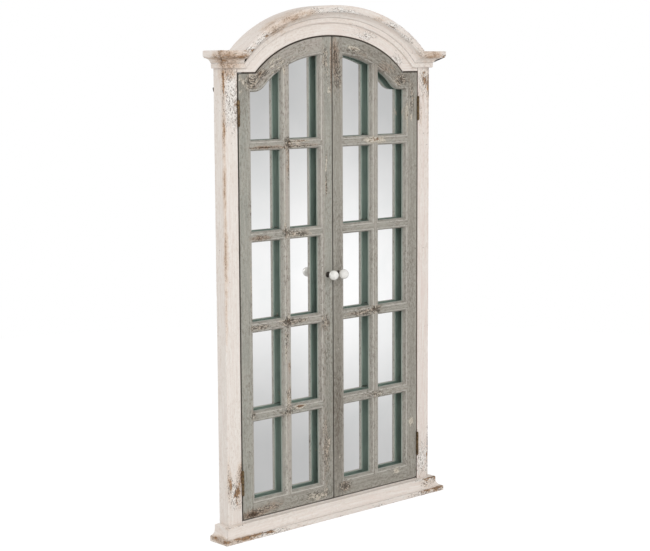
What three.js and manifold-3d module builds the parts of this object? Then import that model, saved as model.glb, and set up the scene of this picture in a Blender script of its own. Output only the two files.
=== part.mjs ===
// A wall mirror behind a pair of arched lattice doors, in millimetres, +Z up, front towards -Y.
// X = 0 is the middle, Z = 0 the underside of the base, Y = 0 the middle of the frame's depth.
// Every piece is built with its front plane at Y = 0, and the assembly is then moved forwards by half
// the depth.
import * as THREE from "three";
import { mergeVertices } from "three/addons/utils/BufferGeometryUtils.js";
import Module from "manifold-3d";

const wasm = await Module();
wasm.setup();

// Clearances.
const fitGap = 0.3; // between pieces that touch
const doorGap = 1.5; // round the pair of doors
const meetingGap = 2; // between the two doors
const mitreGap = 0.25; // half the joint line at a mitred corner

// The opening, and the arch that the doors, the head board and the crown share.
const openingWidth = 603;
const shoulderRise = 1075; // door bottom to the flat shoulder at each side
const shoulderFlat = 54.4; // the flat at each side, before the arch
const archRise = 89; // shoulder to the top of the doors
const archCentreDrop = 101; // centre of the elliptic arch below the shoulder
const archSteps = 40;

// The frame.
const frameStileWidth = 43;
const frameDepth = 35;
const bottomRailHeight = 41.5;
const rebateWidth = 8;
const rebateFront = 26.9; // depth of the seat that the glass rests on
const frameTenonLength = 24;
const frameTenonFront = 10;
const frameTenonThickness = 11;
const tenonShoulder = 6; // from a tenon to the rail's upper or lower edge
const mirrorThickness = 3;
const backPanelThickness = 3;

// Cornice and crown, which have one moulding.
const corniceDrop = 11; // cornice underside above the door shoulder
const corniceHeight = 42;
const corniceReach = 31;
const corniceFillet = 17; // height of the square nosing at the top
const corniceBand = 13; // height of the flat band at the bottom
const corniceBandReach = 7;
const corniceRound = 3; // round under the band
const coveFoot = 2; // quirk where the cove leaves the band
const coveHollow = 4; // how far the cove's hollow stands out from the band
const noseRound = 4; // round under the nosing
const fascia = 32; // flat head board between the door arch and the crown

// Base moulding.
const baseHeight = 39;
const baseReach = 30;
const baseFillet = 13.5;
const baseShelf = 15; // how far its top ledge stands out
const baseShelfFace = 11; // height of the upright face under the ledge
const baseRound = 1; // at its exposed edges
const baseQuirk = 3; // flat before the cove starts on the fillet

// Doors.
const doorThickness = 17;
const hingeStileWidth = 41;
const meetingStileWidth = 39;
const topRailWidth = 44;
const bottomRailWidth = 43.6;
const glazingBarWidth = 25;
const topPaneHeight = 114.2; // at the hinge stile, below the arch's shoulder
const crossBars = 4;
const mouldingWidth = 7;
const mouldingDepth = 6.5;
const mouldingQuirk = 0.8;
const mouldingRound = [2, 2.4]; // control point of its curve, across and deep
const doorTenonLength = 22;
const doorTenonFront = 8.4;
const doorTenonThickness = 5;

// Butt hinges.
const hingeLength = 58;
const hingeInset = 93; // hinge middle from the door's end
const knuckleRadius = 3;
const knuckleCount = 5;
const hingeLeafThickness = 1.2;
const hingeLeafDepth = 13;
const pinRadius = 1.3;
const pinBore = 0.35; // clearance round the pin
const pinHeadRadius = 2.5;
const pinHeadHeight = 2.4;
const knuckleGap = 0.4; // between the knuckles and the door face

// Knobs.
const knobDiameter = 24.5;
const knobReach = 22; // door face to the middle of the ball
const knobHeight = 575.5; // above the door's bottom edge
const knobFlat = 9; // width of the ball's flat seat
const roseDiameter = 15;
const roseThickness = 2.6;
const neckDiameter = 8.5;
const screwDiameter = 4;
const screwHeadDiameter = 9;
const screwHeadThickness = 2.2;
const screwDepth = 12; // into the ball

// Hangers on the back.
const hangerDrop = 87; // ring pivot below the top of the cornice
const hangerEdge = 10; // from the frame's outer side to the middle of the strap
const strapWidth = 11;
const strapHeight = 25;
const strapThickness = 1.2;
const ringWire = 2.5;
const ringWidth = 19;
const ringHeight = 15;
const ringPlay = 0.4;
const hangerScrewDiameter = 3.5;
const hangerScrewLength = 16;
const hangerScrewDrop = 19.5; // below the ring's pivot

// Catch and stop.
const catchWidth = 46;
const catchHeight = 11;
const catchDepth = 7;
const strikeWidth = 17;
const strikeHeight = 9;
const strikeThickness = 1;
const stopLength = 220;
const stopHeight = 10;
const stopDepth = 9;

const paints = {
  frame: new THREE.MeshStandardMaterial({ color: 0xdbcfc4, roughness: 0.75 }),
  door: new THREE.MeshStandardMaterial({ color: 0x96968a, roughness: 0.8 }),
  glass: new THREE.MeshStandardMaterial({ color: 0xd9dde0, roughness: 0.04, metalness: 1 }),
  board: new THREE.MeshStandardMaterial({ color: 0x8a6a48, roughness: 0.9 }),
  brass: new THREE.MeshStandardMaterial({ color: 0x80603a, roughness: 0.5, metalness: 1 }),
  steel: new THREE.MeshStandardMaterial({ color: 0x4a4744, roughness: 0.5, metalness: 1 }),
  ceramic: new THREE.MeshStandardMaterial({ color: 0xf2f0ea, roughness: 0.15 }),
  plastic: new THREE.MeshStandardMaterial({ color: 0x6b4a2e, roughness: 0.6 }),
};

// Worked out from the sizes above.
const pairHalf = openingWidth / 2 - doorGap; // outer edge of each door
const doorBottom = bottomRailHeight + doorGap;
const shoulderZ = doorBottom + shoulderRise;
const frameHalf = openingWidth / 2 + frameStileWidth;
const corniceZ = shoulderZ + corniceDrop;
const frameTop = corniceZ + corniceHeight;
const archCentreZ = shoulderZ - archCentreDrop;
const archB = archRise + archCentreDrop;
const archA = (pairHalf - shoulderFlat) / Math.sqrt(1 - (archCentreDrop / archB) ** 2);
const mirrorFront = rebateFront + fitGap;
const mirrorOutset = doorGap + rebateWidth - 2 * fitGap;
const hingePinX = pairHalf + doorGap / 2;
const hingePinY = -knuckleRadius - knuckleGap;
const knobX = meetingGap / 2 + (meetingStileWidth - mouldingWidth) / 2;
const hangerHeight = frameTop - hangerDrop;
const paneColumn = shoulderRise - bottomRailWidth - topRailWidth - topPaneHeight;
const paneHeight = paneColumn / crossBars - glazingBarWidth; // the same in every row but the top one
const hingeHeights = [doorBottom + hingeInset, shoulderZ - hingeInset];

// ---- Geometry helpers ----

// A solid for cutting and joining, from a closed geometry, with its faces turned outwards.
function solid(geometry) {
  geometry.deleteAttribute("normal");
  geometry.deleteAttribute("uv");
  const merged = mergeVertices(geometry, 1e-4);
  const corners = [];
  for (let i = 0; i < merged.index.count; i += 3) {
    const [a, b, c] = merged.index.array.slice(i, i + 3);
    if (a !== b && b !== c && c !== a) corners.push(a, b, c);
  }
  const build = (triVerts) =>
    new wasm.Manifold(
      new wasm.Mesh({
        numProp: 3,
        vertProperties: merged.attributes.position.array,
        triVerts: new Uint32Array(triVerts),
      }),
    );
  const made = build(corners);
  return made.volume() > 0 ? made : build(corners.reverse());
}

const signedArea = (ring) =>
  ring.reduce((sum, [s, t], i) => {
    const [u, v] = ring[(i + 1) % ring.length];
    return sum + (s * v - u * t) / 2;
  }, 0);

// Carries a section through a row of places, each a function from section to space. Ends are capped,
// unless the row closes on itself.
function sweep(outline, places, closed = false) {
  const section = signedArea(outline) > 0 ? outline : [...outline].reverse();
  const count = section.length;
  const index = [];
  const spans = closed ? places.length : places.length - 1;
  for (let k = 0; k < spans; k++) {
    const here = k * count;
    const next = ((k + 1) % places.length) * count;
    for (let i = 0; i < count; i++) {
      const j = (i + 1) % count;
      index.push(here + i, here + j, next + j, here + i, next + j, next + i);
    }
  }
  if (!closed) {
    const flat = section.map(([s, t]) => new THREE.Vector2(s, t));
    const last = (places.length - 1) * count;
    for (const [a, b, c] of THREE.ShapeUtils.triangulateShape(flat, [])) {
      const turned = signedArea([a, b, c].map((i) => section[i])) > 0 ? [a, b, c] : [a, c, b];
      index.push(turned[0], turned[2], turned[1]);
      index.push(...turned.map((i) => last + i));
    }
  }
  const position = places.flatMap((place) => section.flatMap(([s, t]) => place(s, t)));
  const geometry = new THREE.BufferGeometry();
  geometry.setAttribute("position", new THREE.Float32BufferAttribute(position, 3));
  geometry.setIndex(index);
  return solid(geometry);
}

// A front-view outline of [x, z] points, extruded between two depths.
const plate = (outline, front, back) =>
  sweep(outline, [(x, z) => [x, front, z], (x, z) => [x, back, z]]);

const box = (x0, x1, y0, y1, z0, z1) =>
  plate([[x0, z0], [x1, z0], [x1, z1], [x0, z1]], y0, y1);

// A turned piece: the profile is [radius, height] and the axis is +Z.
function turned(profile, sides = 20) {
  const points = profile.map(([r, z]) => new THREE.Vector2(r, z));
  return solid(new THREE.LatheGeometry(points, sides).rotateX(Math.PI / 2));
}

const rod = (radius, length, sides = 16) =>
  solid(new THREE.CylinderGeometry(radius, radius, length, sides).rotateX(Math.PI / 2));

// Points of a curve between two [s, t] points, bent by one control point.
function bend(from, control, to, count) {
  const [a, b, c] = [from, control, to].map((point) => new THREE.Vector2(...point));
  return new THREE.QuadraticBezierCurve(a, b, c).getPoints(count).map(({ x, y }) => [x, y]);
}

// ---- The arch ----

// A point of the door arch moved outwards by an offset. The angle runs from 0 at +X to pi at -X.
function archPoint(angle, offset) {
  const nx = Math.cos(angle) / archA;
  const nz = Math.sin(angle) / archB;
  const length = Math.hypot(nx, nz);
  return [
    archA * Math.cos(angle) + (offset * nx) / length,
    archCentreZ + archB * Math.sin(angle) + (offset * nz) / length,
  ];
}

// The angle at which the moved arch reaches a height, on the +X side.
function archAngle(offset, z) {
  let low = 0;
  let high = Math.PI / 2;
  for (let i = 0; i < 50; i++) {
    const middle = (low + high) / 2;
    if (archPoint(middle, offset)[1] < z) low = middle;
    else high = middle;
  }
  return (low + high) / 2;
}

const steps = (from, to, count) =>
  Array.from({ length: count + 1 }, (_, i) => from + ((to - from) * i) / count);

// The doors' arched outline, moved outwards by an offset, from +X to -X. Moved inwards, the corner
// at each shoulder turns on a round.
function archLine(offset, startZ = shoulderZ + Math.max(offset, 0)) {
  const start = archAngle(Math.max(offset, 0), startZ);
  const arc = steps(start, Math.PI - start, archSteps).map((angle) => archPoint(angle, offset));
  if (offset >= 0) return arc;
  const [cornerX, cornerZ] = archPoint(start, 0);
  const normal = Math.atan2(arc[0][1] - cornerZ, arc[0][0] - cornerX);
  const fan = steps(-Math.PI / 2, normal, 5)
    .slice(0, -1)
    .map((turn) => [cornerX - offset * Math.cos(turn), cornerZ - offset * Math.sin(turn)]);
  return [...fan, ...arc, ...fan.map(([x, z]) => [-x, z]).reverse()];
}

// The height of the moved arch over a place.
function archHeight(x, offset) {
  let low = 0;
  let high = Math.PI / 2;
  for (let i = 0; i < 50; i++) {
    const middle = (low + high) / 2;
    if (archPoint(middle, offset)[0] > x) low = middle;
    else high = middle;
  }
  return archPoint(low, offset)[1];
}

// Everything under the moved arch, down to a bottom edge.
const archedOutline = (offset, bottom, half = pairHalf + offset) => [
  [-half, bottom],
  [half, bottom],
  [half, shoulderZ + offset],
  ...archLine(offset),
  [-half, shoulderZ + offset],
];

// ---- Frame ----

const rebate = plate(
  archedOutline(doorGap + rebateWidth, bottomRailHeight - rebateWidth),
  rebateFront,
  frameDepth + 1,
);

const frameTenonBack = frameTenonFront + frameTenonThickness;

// A rail's tenon in the +X frame stile, or with a clearance the mortise for it.
const frameTenon = (low, high, clearance = 0) =>
  box(
    openingWidth / 2 - 2 * fitGap - 1,
    openingWidth / 2 + frameTenonLength + clearance,
    frameTenonFront - clearance,
    frameTenonBack + clearance,
    low + tenonShoulder - clearance,
    high - tenonShoulder + clearance,
  );

const bottomRailSpan = [0, bottomRailHeight - rebateWidth];
const headSpan = [shoulderZ + doorGap + rebateWidth, frameTop];

function frameStile() {
  const hingeMortise = (z) =>
    box(
      openingWidth / 2 - 1,
      openingWidth / 2 + hingeLeafThickness + fitGap,
      -1,
      hingeLeafDepth + fitGap,
      z - hingeLength / 2 - fitGap,
      z + hingeLength / 2 + fitGap,
    );
  let stile = box(openingWidth / 2, frameHalf, 0, frameDepth, 0, frameTop)
    .subtract(rebate)
    .subtract(frameTenon(...bottomRailSpan, fitGap))
    .subtract(frameTenon(...headSpan, fitGap))
    .subtract(
      rod(hangerScrewDiameter / 2 + fitGap, 2 * (hangerScrewLength + fitGap))
        .rotate([90, 0, 0])
        .translate([frameHalf - hangerEdge, frameDepth, hangerHeight - hangerScrewDrop]),
    );
  for (const z of hingeHeights) stile = stile.subtract(hingeMortise(z));
  return stile;
}

const bothWays = (piece) => piece.add(piece.mirror([1, 0, 0]));

const railHalf = openingWidth / 2 - fitGap;

const bottomRail = () =>
  box(-railHalf, railHalf, 0, frameDepth, 0, bottomRailHeight)
    .subtract(rebate)
    .add(bothWays(frameTenon(...bottomRailSpan)));

function headBoard() {
  const crownTop = archLine(fascia + corniceHeight, frameTop);
  const outline = [
    [-railHalf, shoulderZ + doorGap],
    [railHalf, shoulderZ + doorGap],
    [railHalf, frameTop],
    ...crownTop,
    [-railHalf, frameTop],
  ];
  return plate(outline, 0, frameDepth)
    .intersect(box(-railHalf, railHalf, -1, frameDepth + 1, doorBottom, frameTop + 2 * archB))
    .subtract(plate(archedOutline(doorGap, doorBottom), -1, frameDepth + 1))
    .subtract(rebate)
    .add(bothWays(frameTenon(...headSpan)));
}

const mirrorGlass = () =>
  plate(
    archedOutline(mirrorOutset, bottomRailHeight - rebateWidth + 2 * fitGap),
    mirrorFront,
    mirrorFront + mirrorThickness,
  );

const backPanel = () =>
  plate(
    archedOutline(mirrorOutset, bottomRailHeight - rebateWidth + 2 * fitGap),
    mirrorFront + mirrorThickness + fitGap,
    mirrorFront + mirrorThickness + fitGap + backPanelThickness,
  );

// ---- Mouldings of the frame: sections are [reach, height] ----

const corniceNose = corniceHeight - corniceFillet;
const corniceSection = [
  [fitGap, 0],
  ...bend(
    [corniceBandReach - corniceRound, 0],
    [corniceBandReach, 0],
    [corniceBandReach, corniceRound],
    2,
  ),
  [corniceBandReach, corniceBand],
  ...bend(
    [corniceBandReach + coveFoot, corniceBand],
    [corniceBandReach + coveHollow, corniceNose - 1],
    [corniceReach - noseRound + 1, corniceNose - 1],
    5,
  ),
  ...bend(
    [corniceReach - noseRound / 2, corniceNose],
    [corniceReach, corniceNose],
    [corniceReach, corniceNose + noseRound],
    2,
  ),
  [corniceReach, corniceHeight],
  [fitGap, corniceHeight],
];

const baseSection = [
  [fitGap, 0],
  [baseReach, 0],
  [baseReach, baseFillet - baseRound],
  [baseReach - baseRound, baseFillet],
  ...bend(
    [baseReach - baseQuirk, baseFillet],
    [baseShelf, baseFillet + baseRound],
    [baseShelf, baseHeight - baseShelfFace],
    5,
  ),
  [baseShelf, baseHeight - baseRound],
  [baseShelf - baseRound, baseHeight],
  [fitGap, baseHeight],
];

// Where the cornice and the crown meet, at a height above the cornice's underside.
const mitreAngle = (height) => archAngle(fascia + height, corniceZ + height);

const crownMoulding = () =>
  sweep(
    corniceSection,
    steps(0, 1, archSteps).map((share) => (reach, height) => {
      const start = mitreAngle(height);
      const [x, z] = archPoint(start + (Math.PI - 2 * start) * share, fascia + height);
      return [x, -reach, z];
    }),
  );

const corniceFront = () =>
  sweep(corniceSection, [
    (reach, height) => [
      archPoint(mitreAngle(height), fascia + height)[0] + 2 * mitreGap,
      -reach,
      corniceZ + height,
    ],
    (reach, height) => [frameHalf + reach - mitreGap, -reach, corniceZ + height],
  ]);

// A moulding's return along the +X side of the frame.
const sideReturn = (section, z) =>
  sweep(section, [
    (reach, height) => [frameHalf + reach, mitreGap - reach, z + height],
    (reach, height) => [frameHalf + reach, frameDepth, z + height],
  ]);

const baseFront = () =>
  sweep(baseSection, [
    (reach, height) => [-frameHalf - reach + mitreGap, -reach, height],
    (reach, height) => [frameHalf + reach - mitreGap, -reach, height],
  ]);

// ---- Doors: every piece is made for the +X door ----

const mouldingCurve = [
  ...bend([0, mouldingDepth], mouldingRound, [mouldingWidth, mouldingQuirk], 3),
  [mouldingWidth, 0],
];

// A door member's section as [across, depth], from its pane edge. A grown one is a cutter that leaves
// a gap of that size.
function memberSection(width, bothEdges, grow = 0) {
  const near = mouldingCurve.map(([across, depth]) => [across - grow, depth - grow]);
  const far = bothEdges
    ? near.map(([across, depth]) => [width - across, depth]).reverse()
    : [[width + grow, -grow]];
  return [...near, ...far, [width + grow, doorThickness + grow], [-grow, doorThickness + grow]];
}

const upright = (section, xOf, z0, z1) =>
  sweep(section, [
    (across, depth) => [xOf(across), depth, z0],
    (across, depth) => [xOf(across), depth, z1],
  ]);

const level = (section, zOf, x0, x1) =>
  sweep(section, [
    (across, depth) => [x0, depth, zOf(across)],
    (across, depth) => [x1, depth, zOf(across)],
  ]);

const meetingEdge = meetingGap / 2;
const meetingPane = meetingEdge + meetingStileWidth;
const hingePane = pairHalf - hingeStileWidth;
const muntinLeft = (meetingPane + hingePane - glazingBarWidth) / 2;
const paneFloor = doorBottom + bottomRailWidth;
const doorTop = shoulderZ + archRise;
const halving = doorThickness / 2;
const barBottom = (row) => paneFloor + paneHeight + row * (paneHeight + glazingBarWidth);

const doorOutline = plate(
  archedOutline(0, doorBottom),
  -1,
  doorThickness + 1,
).intersect(box(meetingEdge, pairHalf, -2, doorThickness + 2, doorBottom - 1, doorTop + 1));

const hingeStileBar = (grow) =>
  upright(
    memberSection(hingeStileWidth, false, grow),
    (across) => hingePane + across,
    doorBottom - grow,
    doorTop + grow,
  );

const meetingStileBar = (grow) =>
  upright(
    memberSection(meetingStileWidth, false, grow),
    (across) => meetingPane - across,
    doorBottom - grow,
    doorTop + grow,
  );

const muntinTop = archHeight(muntinLeft + glazingBarWidth / 2, -topRailWidth / 2);

const muntinBar = (grow) =>
  upright(
    memberSection(glazingBarWidth, true, grow),
    (across) => muntinLeft + across,
    paneFloor - mouldingWidth - grow,
    muntinTop + grow,
  );

const bottomRailBar = (grow) =>
  level(
    memberSection(bottomRailWidth, false, grow),
    (across) => paneFloor - across,
    meetingPane - mouldingWidth,
    hingePane + mouldingWidth,
  );

// The pane edge under the arch with a straight run past each shoulder, moved outwards by an offset.
const railLine = (offset) => [
  [2 * pairHalf, shoulderZ + offset],
  ...archLine(offset),
  [-2 * pairHalf, shoulderZ + offset],
];

function topRailBar(grow) {
  const edge = -topRailWidth - grow;
  const under = plate(
    [[-2 * pairHalf, doorBottom - 1], [2 * pairHalf, doorBottom - 1], ...railLine(edge)],
    -2,
    doorThickness + 2,
  );
  const planed = [
    ...mouldingCurve.map(([across, depth]) => [across, depth - grow]),
    [mouldingWidth, -1 - grow],
    [-1, -1 - grow],
    [-1, mouldingDepth - grow],
  ];
  const places = railLine(edge).map((_, k) => (across, depth) => {
    const [x, z] = railLine(edge + across)[k];
    return [x, depth, z];
  });
  return plate(archedOutline(0, doorBottom), -grow, doorThickness + grow)
    .intersect(
      box(
        meetingPane - mouldingWidth,
        hingePane + mouldingWidth,
        -1,
        doorThickness + 1,
        doorBottom,
        doorTop + 1,
      ),
    )
    .subtract(under)
    .subtract(sweep(planed, places));
}

// The tenons of the two rails, or with a clearance their mortises.
function doorTenon(side, low, high, clearance = 0) {
  const start = side === "hinge" ? hingePane : meetingPane;
  const way = side === "hinge" ? 1 : -1;
  const ends = [start - 2 * way, start + way * (doorTenonLength + clearance)].sort((a, b) => a - b);
  return box(
    ...ends,
    doorTenonFront - clearance,
    doorTenonFront + doorTenonThickness + clearance,
    low + tenonShoulder - clearance,
    high - tenonShoulder + clearance,
  );
}

const bottomSpan = [doorBottom, paneFloor];
const hingeTopSpan = [shoulderZ - topRailWidth, shoulderZ];
const meetingTopSpan = [doorTop - topRailWidth, archHeight(meetingPane, 0)];

const hingeStile = () => {
  let stile = hingeStileBar(0)
    .intersect(doorOutline)
    .subtract(doorTenon("hinge", ...bottomSpan, fitGap))
    .subtract(doorTenon("hinge", ...hingeTopSpan, fitGap));
  for (const z of hingeHeights)
    stile = stile.subtract(
      box(
        pairHalf - hingeLeafThickness - fitGap,
        pairHalf + 1,
        -1,
        hingeLeafDepth + fitGap,
        z - hingeLength / 2 - fitGap,
        z + hingeLength / 2 + fitGap,
      ),
    );
  return stile;
};

const meetingStile = () =>
  meetingStileBar(0)
    .intersect(doorOutline)
    .subtract(doorTenon("meeting", ...bottomSpan, fitGap))
    .subtract(doorTenon("meeting", ...meetingTopSpan, fitGap))
    .subtract(
      rod(screwDiameter / 2 + fitGap, 3 * doorThickness)
        .rotate([90, 0, 0])
        .translate([knobX, 0, doorBottom + knobHeight]),
    );

const stileCutter = () => hingeStileBar(fitGap).add(meetingStileBar(fitGap));

const topRail = () =>
  topRailBar(0)
    .subtract(stileCutter())
    .add(doorTenon("hinge", ...hingeTopSpan))
    .add(doorTenon("meeting", ...meetingTopSpan));

const doorBottomRail = () =>
  bottomRailBar(0)
    .subtract(stileCutter())
    .add(doorTenon("hinge", ...bottomSpan))
    .add(doorTenon("meeting", ...bottomSpan));

// The muntin is halved behind the cross bars' back halves.
function muntin() {
  let piece = muntinBar(0).subtract(topRailBar(fitGap)).subtract(bottomRailBar(fitGap));
  for (let row = 0; row < crossBars; row++)
    piece = piece.subtract(
      box(
        muntinLeft - 1,
        muntinLeft + glazingBarWidth + 1,
        halving - fitGap / 2,
        doorThickness + 1,
        barBottom(row) - fitGap,
        barBottom(row) + glazingBarWidth + fitGap,
      ),
    );
  return piece;
}

const crossBar = (row) =>
  level(
    memberSection(glazingBarWidth, true),
    (across) => barBottom(row) + across,
    meetingPane - mouldingWidth,
    hingePane + mouldingWidth,
  )
    .subtract(stileCutter())
    .subtract(
      muntinBar(fitGap).intersect(
        box(meetingPane, hingePane, -1, halving + fitGap / 2, doorBottom, doorTop),
      ),
    );

// ---- Hinges, about a pin on the Z axis, for the +X side ----

const knuckleLength = (hingeLength - (knuckleCount - 1) * fitGap) / knuckleCount;
const knuckleBottom = (k) => -hingeLength / 2 + k * (knuckleLength + fitGap);

// One leaf: way is -1 for the door's and +1 for the frame's, which has the first and last knuckle.
function hingeLeaf(way) {
  const near = (way * doorGap) / 2;
  const [x0, x1] = [near, near + way * hingeLeafThickness].sort((a, b) => a - b);
  const flush = -hingePinY;
  let leaf = box(x0, x1, flush, flush + hingeLeafDepth, -hingeLength / 2, hingeLength / 2);
  for (let k = way > 0 ? 0 : 1; k < knuckleCount; k += 2) {
    const low = knuckleBottom(k);
    leaf = leaf
      .add(rod(knuckleRadius, knuckleLength).translate([0, 0, low + knuckleLength / 2]))
      .add(box(x0, x1, 0, flush + 1, low, low + knuckleLength));
  }
  return leaf.subtract(rod(pinRadius + pinBore, 2 * hingeLength));
}

const pinHeadBottom = hingeLength / 2 + fitGap;
const pinHeadTop = pinHeadBottom + pinHeadHeight;
const pinHead = bend([pinHeadRadius, pinHeadBottom], [pinHeadRadius, pinHeadTop], [0, pinHeadTop], 4);
const hingePin = () =>
  turned(
    [
      ...[...pinHead].reverse(),
      [pinRadius, pinHeadBottom],
      [pinRadius, -pinHeadBottom],
      ...pinHead.map(([r, z]) => [r, -z]),
    ].reverse(),
    16,
  );

// ---- Knobs, with +Z pointing out of the door face at its origin ----

const knobRadius = knobDiameter / 2;
const knobSeat = knobReach - Math.sqrt(knobRadius ** 2 - (knobFlat / 2) ** 2);
const screwBore = screwDiameter / 2 + fitGap;

const knobBall = () => {
  const start = Math.asin(knobFlat / 2 / knobRadius);
  return turned([
    [0, knobSeat + screwDepth + fitGap],
    [screwBore, knobSeat + screwDepth + fitGap],
    [screwBore, knobSeat],
    ...steps(start, Math.PI, 11)
      .slice(0, -1)
      .map((turn) => [knobRadius * Math.sin(turn), knobReach - knobRadius * Math.cos(turn)]),
    [0, knobReach + knobRadius],
  ]);
};

const knobRose = () =>
  turned([
    [0, fitGap],
    [roseDiameter / 2, fitGap],
    [roseDiameter / 2, roseThickness / 2],
    [neckDiameter / 2 + 1, roseThickness],
    [neckDiameter / 2 - 1, (roseThickness + knobSeat) / 2],
    [neckDiameter / 2, knobSeat - fitGap],
    [0, knobSeat - fitGap],
  ]).subtract(rod(screwBore, 4 * knobReach));

const knobScrew = () => {
  const headFront = -doorThickness - fitGap;
  return turned(
    [
      [0, headFront - screwHeadThickness],
      [screwHeadDiameter / 3, headFront - screwHeadThickness],
      [screwHeadDiameter / 2, headFront - screwHeadThickness / 3],
      [screwHeadDiameter / 2, headFront],
      [screwDiameter / 2, headFront],
      [screwDiameter / 2, knobSeat + screwDepth],
      [0, knobSeat + screwDepth],
    ],
    16,
  );
};

// ---- Hangers, about the ring's pivot on the X axis, with +Y pointing out of the back ----

const strapEye = ringWire / 2 + ringPlay;
const strapBack = -strapEye - strapThickness;

// The strap's eye goes all the way round the ring's straight leg.
const hangerStrap = () => {
  const across = (piece) => piece.rotate([0, 90, 0]);
  return box(-strapWidth / 2, strapWidth / 2, strapBack, strapBack + strapThickness, -strapHeight, 0)
    .add(across(rod(strapEye + strapThickness, strapWidth, 20)))
    .subtract(across(rod(strapEye, 2 * strapWidth, 20)))
    .subtract(
      rod(hangerScrewDiameter / 2 + fitGap, 4 * strapThickness)
        .rotate([90, 0, 0])
        .translate([0, strapBack, -hangerScrewDrop]),
    );
};

const hangerScrew = () =>
  turned(
    [
      [0, strapBack - fitGap - hangerScrewLength],
      [hangerScrewDiameter / 2, strapBack - fitGap - hangerScrewLength + hangerScrewDiameter],
      [hangerScrewDiameter / 2, strapBack + strapThickness + fitGap],
      [hangerScrewDiameter, strapBack + strapThickness + fitGap],
      [hangerScrewDiameter / 2, strapBack + strapThickness + fitGap + hangerScrewDiameter / 3],
      [0, strapBack + strapThickness + fitGap + hangerScrewDiameter / 3],
    ],
    12,
  )
    .rotate([-90, 0, 0])
    .translate([0, 0, -hangerScrewDrop]);

// A D that hangs down: the straight leg on the pivot and a half ellipse below it.
function hangerRing() {
  const halfWidth = (ringWidth - ringWire) / 2;
  const path = steps(0, Math.PI, 10).map((turn) => [
    halfWidth * Math.cos(turn),
    (ringWire - ringHeight) * Math.sin(turn),
  ]);
  const wire = steps(0, 2 * Math.PI, 8)
    .slice(1)
    .map((turn) => [(ringWire / 2) * Math.cos(turn), (ringWire / 2) * Math.sin(turn)]);
  const places = path.map(([x, z], i) => {
    const [px, pz] = path[(i + path.length - 1) % path.length];
    const [nx, nz] = path[(i + 1) % path.length];
    const into = new THREE.Vector2(x - px, z - pz).normalize();
    const out = new THREE.Vector2(nx - x, nz - z).normalize();
    const half = into.clone().add(out).normalize();
    const stretch = 1 / half.dot(into);
    return (outward, depth) => [x + half.y * stretch * outward, depth, z - half.x * stretch * outward];
  });
  return sweep(wire, places, true);
}

// ---- Catch, strikes and stop behind the doors ----

const strikeFront = doorThickness + fitGap;
const catchFront = strikeFront + strikeThickness + fitGap;
const catchTop = archHeight(catchWidth / 2, doorGap) - fitGap;

const magneticCatch = () =>
  box(
    -catchWidth / 2,
    catchWidth / 2,
    catchFront,
    catchFront + catchDepth,
    catchTop - catchHeight,
    catchTop,
  );

const strikePlate = () =>
  box(
    knobX - strikeWidth / 2,
    knobX + strikeWidth / 2,
    strikeFront,
    strikeFront + strikeThickness,
    catchTop - catchHeight,
    catchTop - catchHeight + strikeHeight,
  );

const doorStop = () =>
  box(
    -stopLength / 2,
    stopLength / 2,
    strikeFront + fitGap,
    strikeFront + fitGap + stopDepth,
    bottomRailHeight + fitGap,
    bottomRailHeight + fitGap + stopHeight,
  );

// ---- The assembly ----

// A named mesh of a solid, optionally at a place.
function mesh(name, piece, material, place = [0, 0, 0]) {
  const { vertProperties, triVerts } = piece.getMesh();
  const geometry = new THREE.BufferGeometry();
  geometry.setAttribute("position", new THREE.BufferAttribute(vertProperties, 3));
  geometry.setIndex(new THREE.BufferAttribute(triVerts, 1));
  const flat = geometry.toNonIndexed();
  flat.computeVertexNormals();
  const made = new THREE.Mesh(flat, material);
  made.name = name;
  made.position.set(...place);
  return made;
}

const assembly = new THREE.Group();
assembly.position.y = -frameDepth / 2;
assembly.add(
  mesh("frame_bottom_rail", bottomRail(), paints.frame),
  mesh("head_board", headBoard(), paints.frame),
  mesh("crown_moulding", crownMoulding(), paints.frame),
  mesh("base_moulding_front", baseFront(), paints.frame),
  mesh("mirror_glass", mirrorGlass(), paints.glass),
  mesh("back_panel", backPanel(), paints.board),
  mesh("door_stop", doorStop(), paints.board),
  mesh("magnetic_catch", magneticCatch(), paints.plastic),
);

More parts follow.
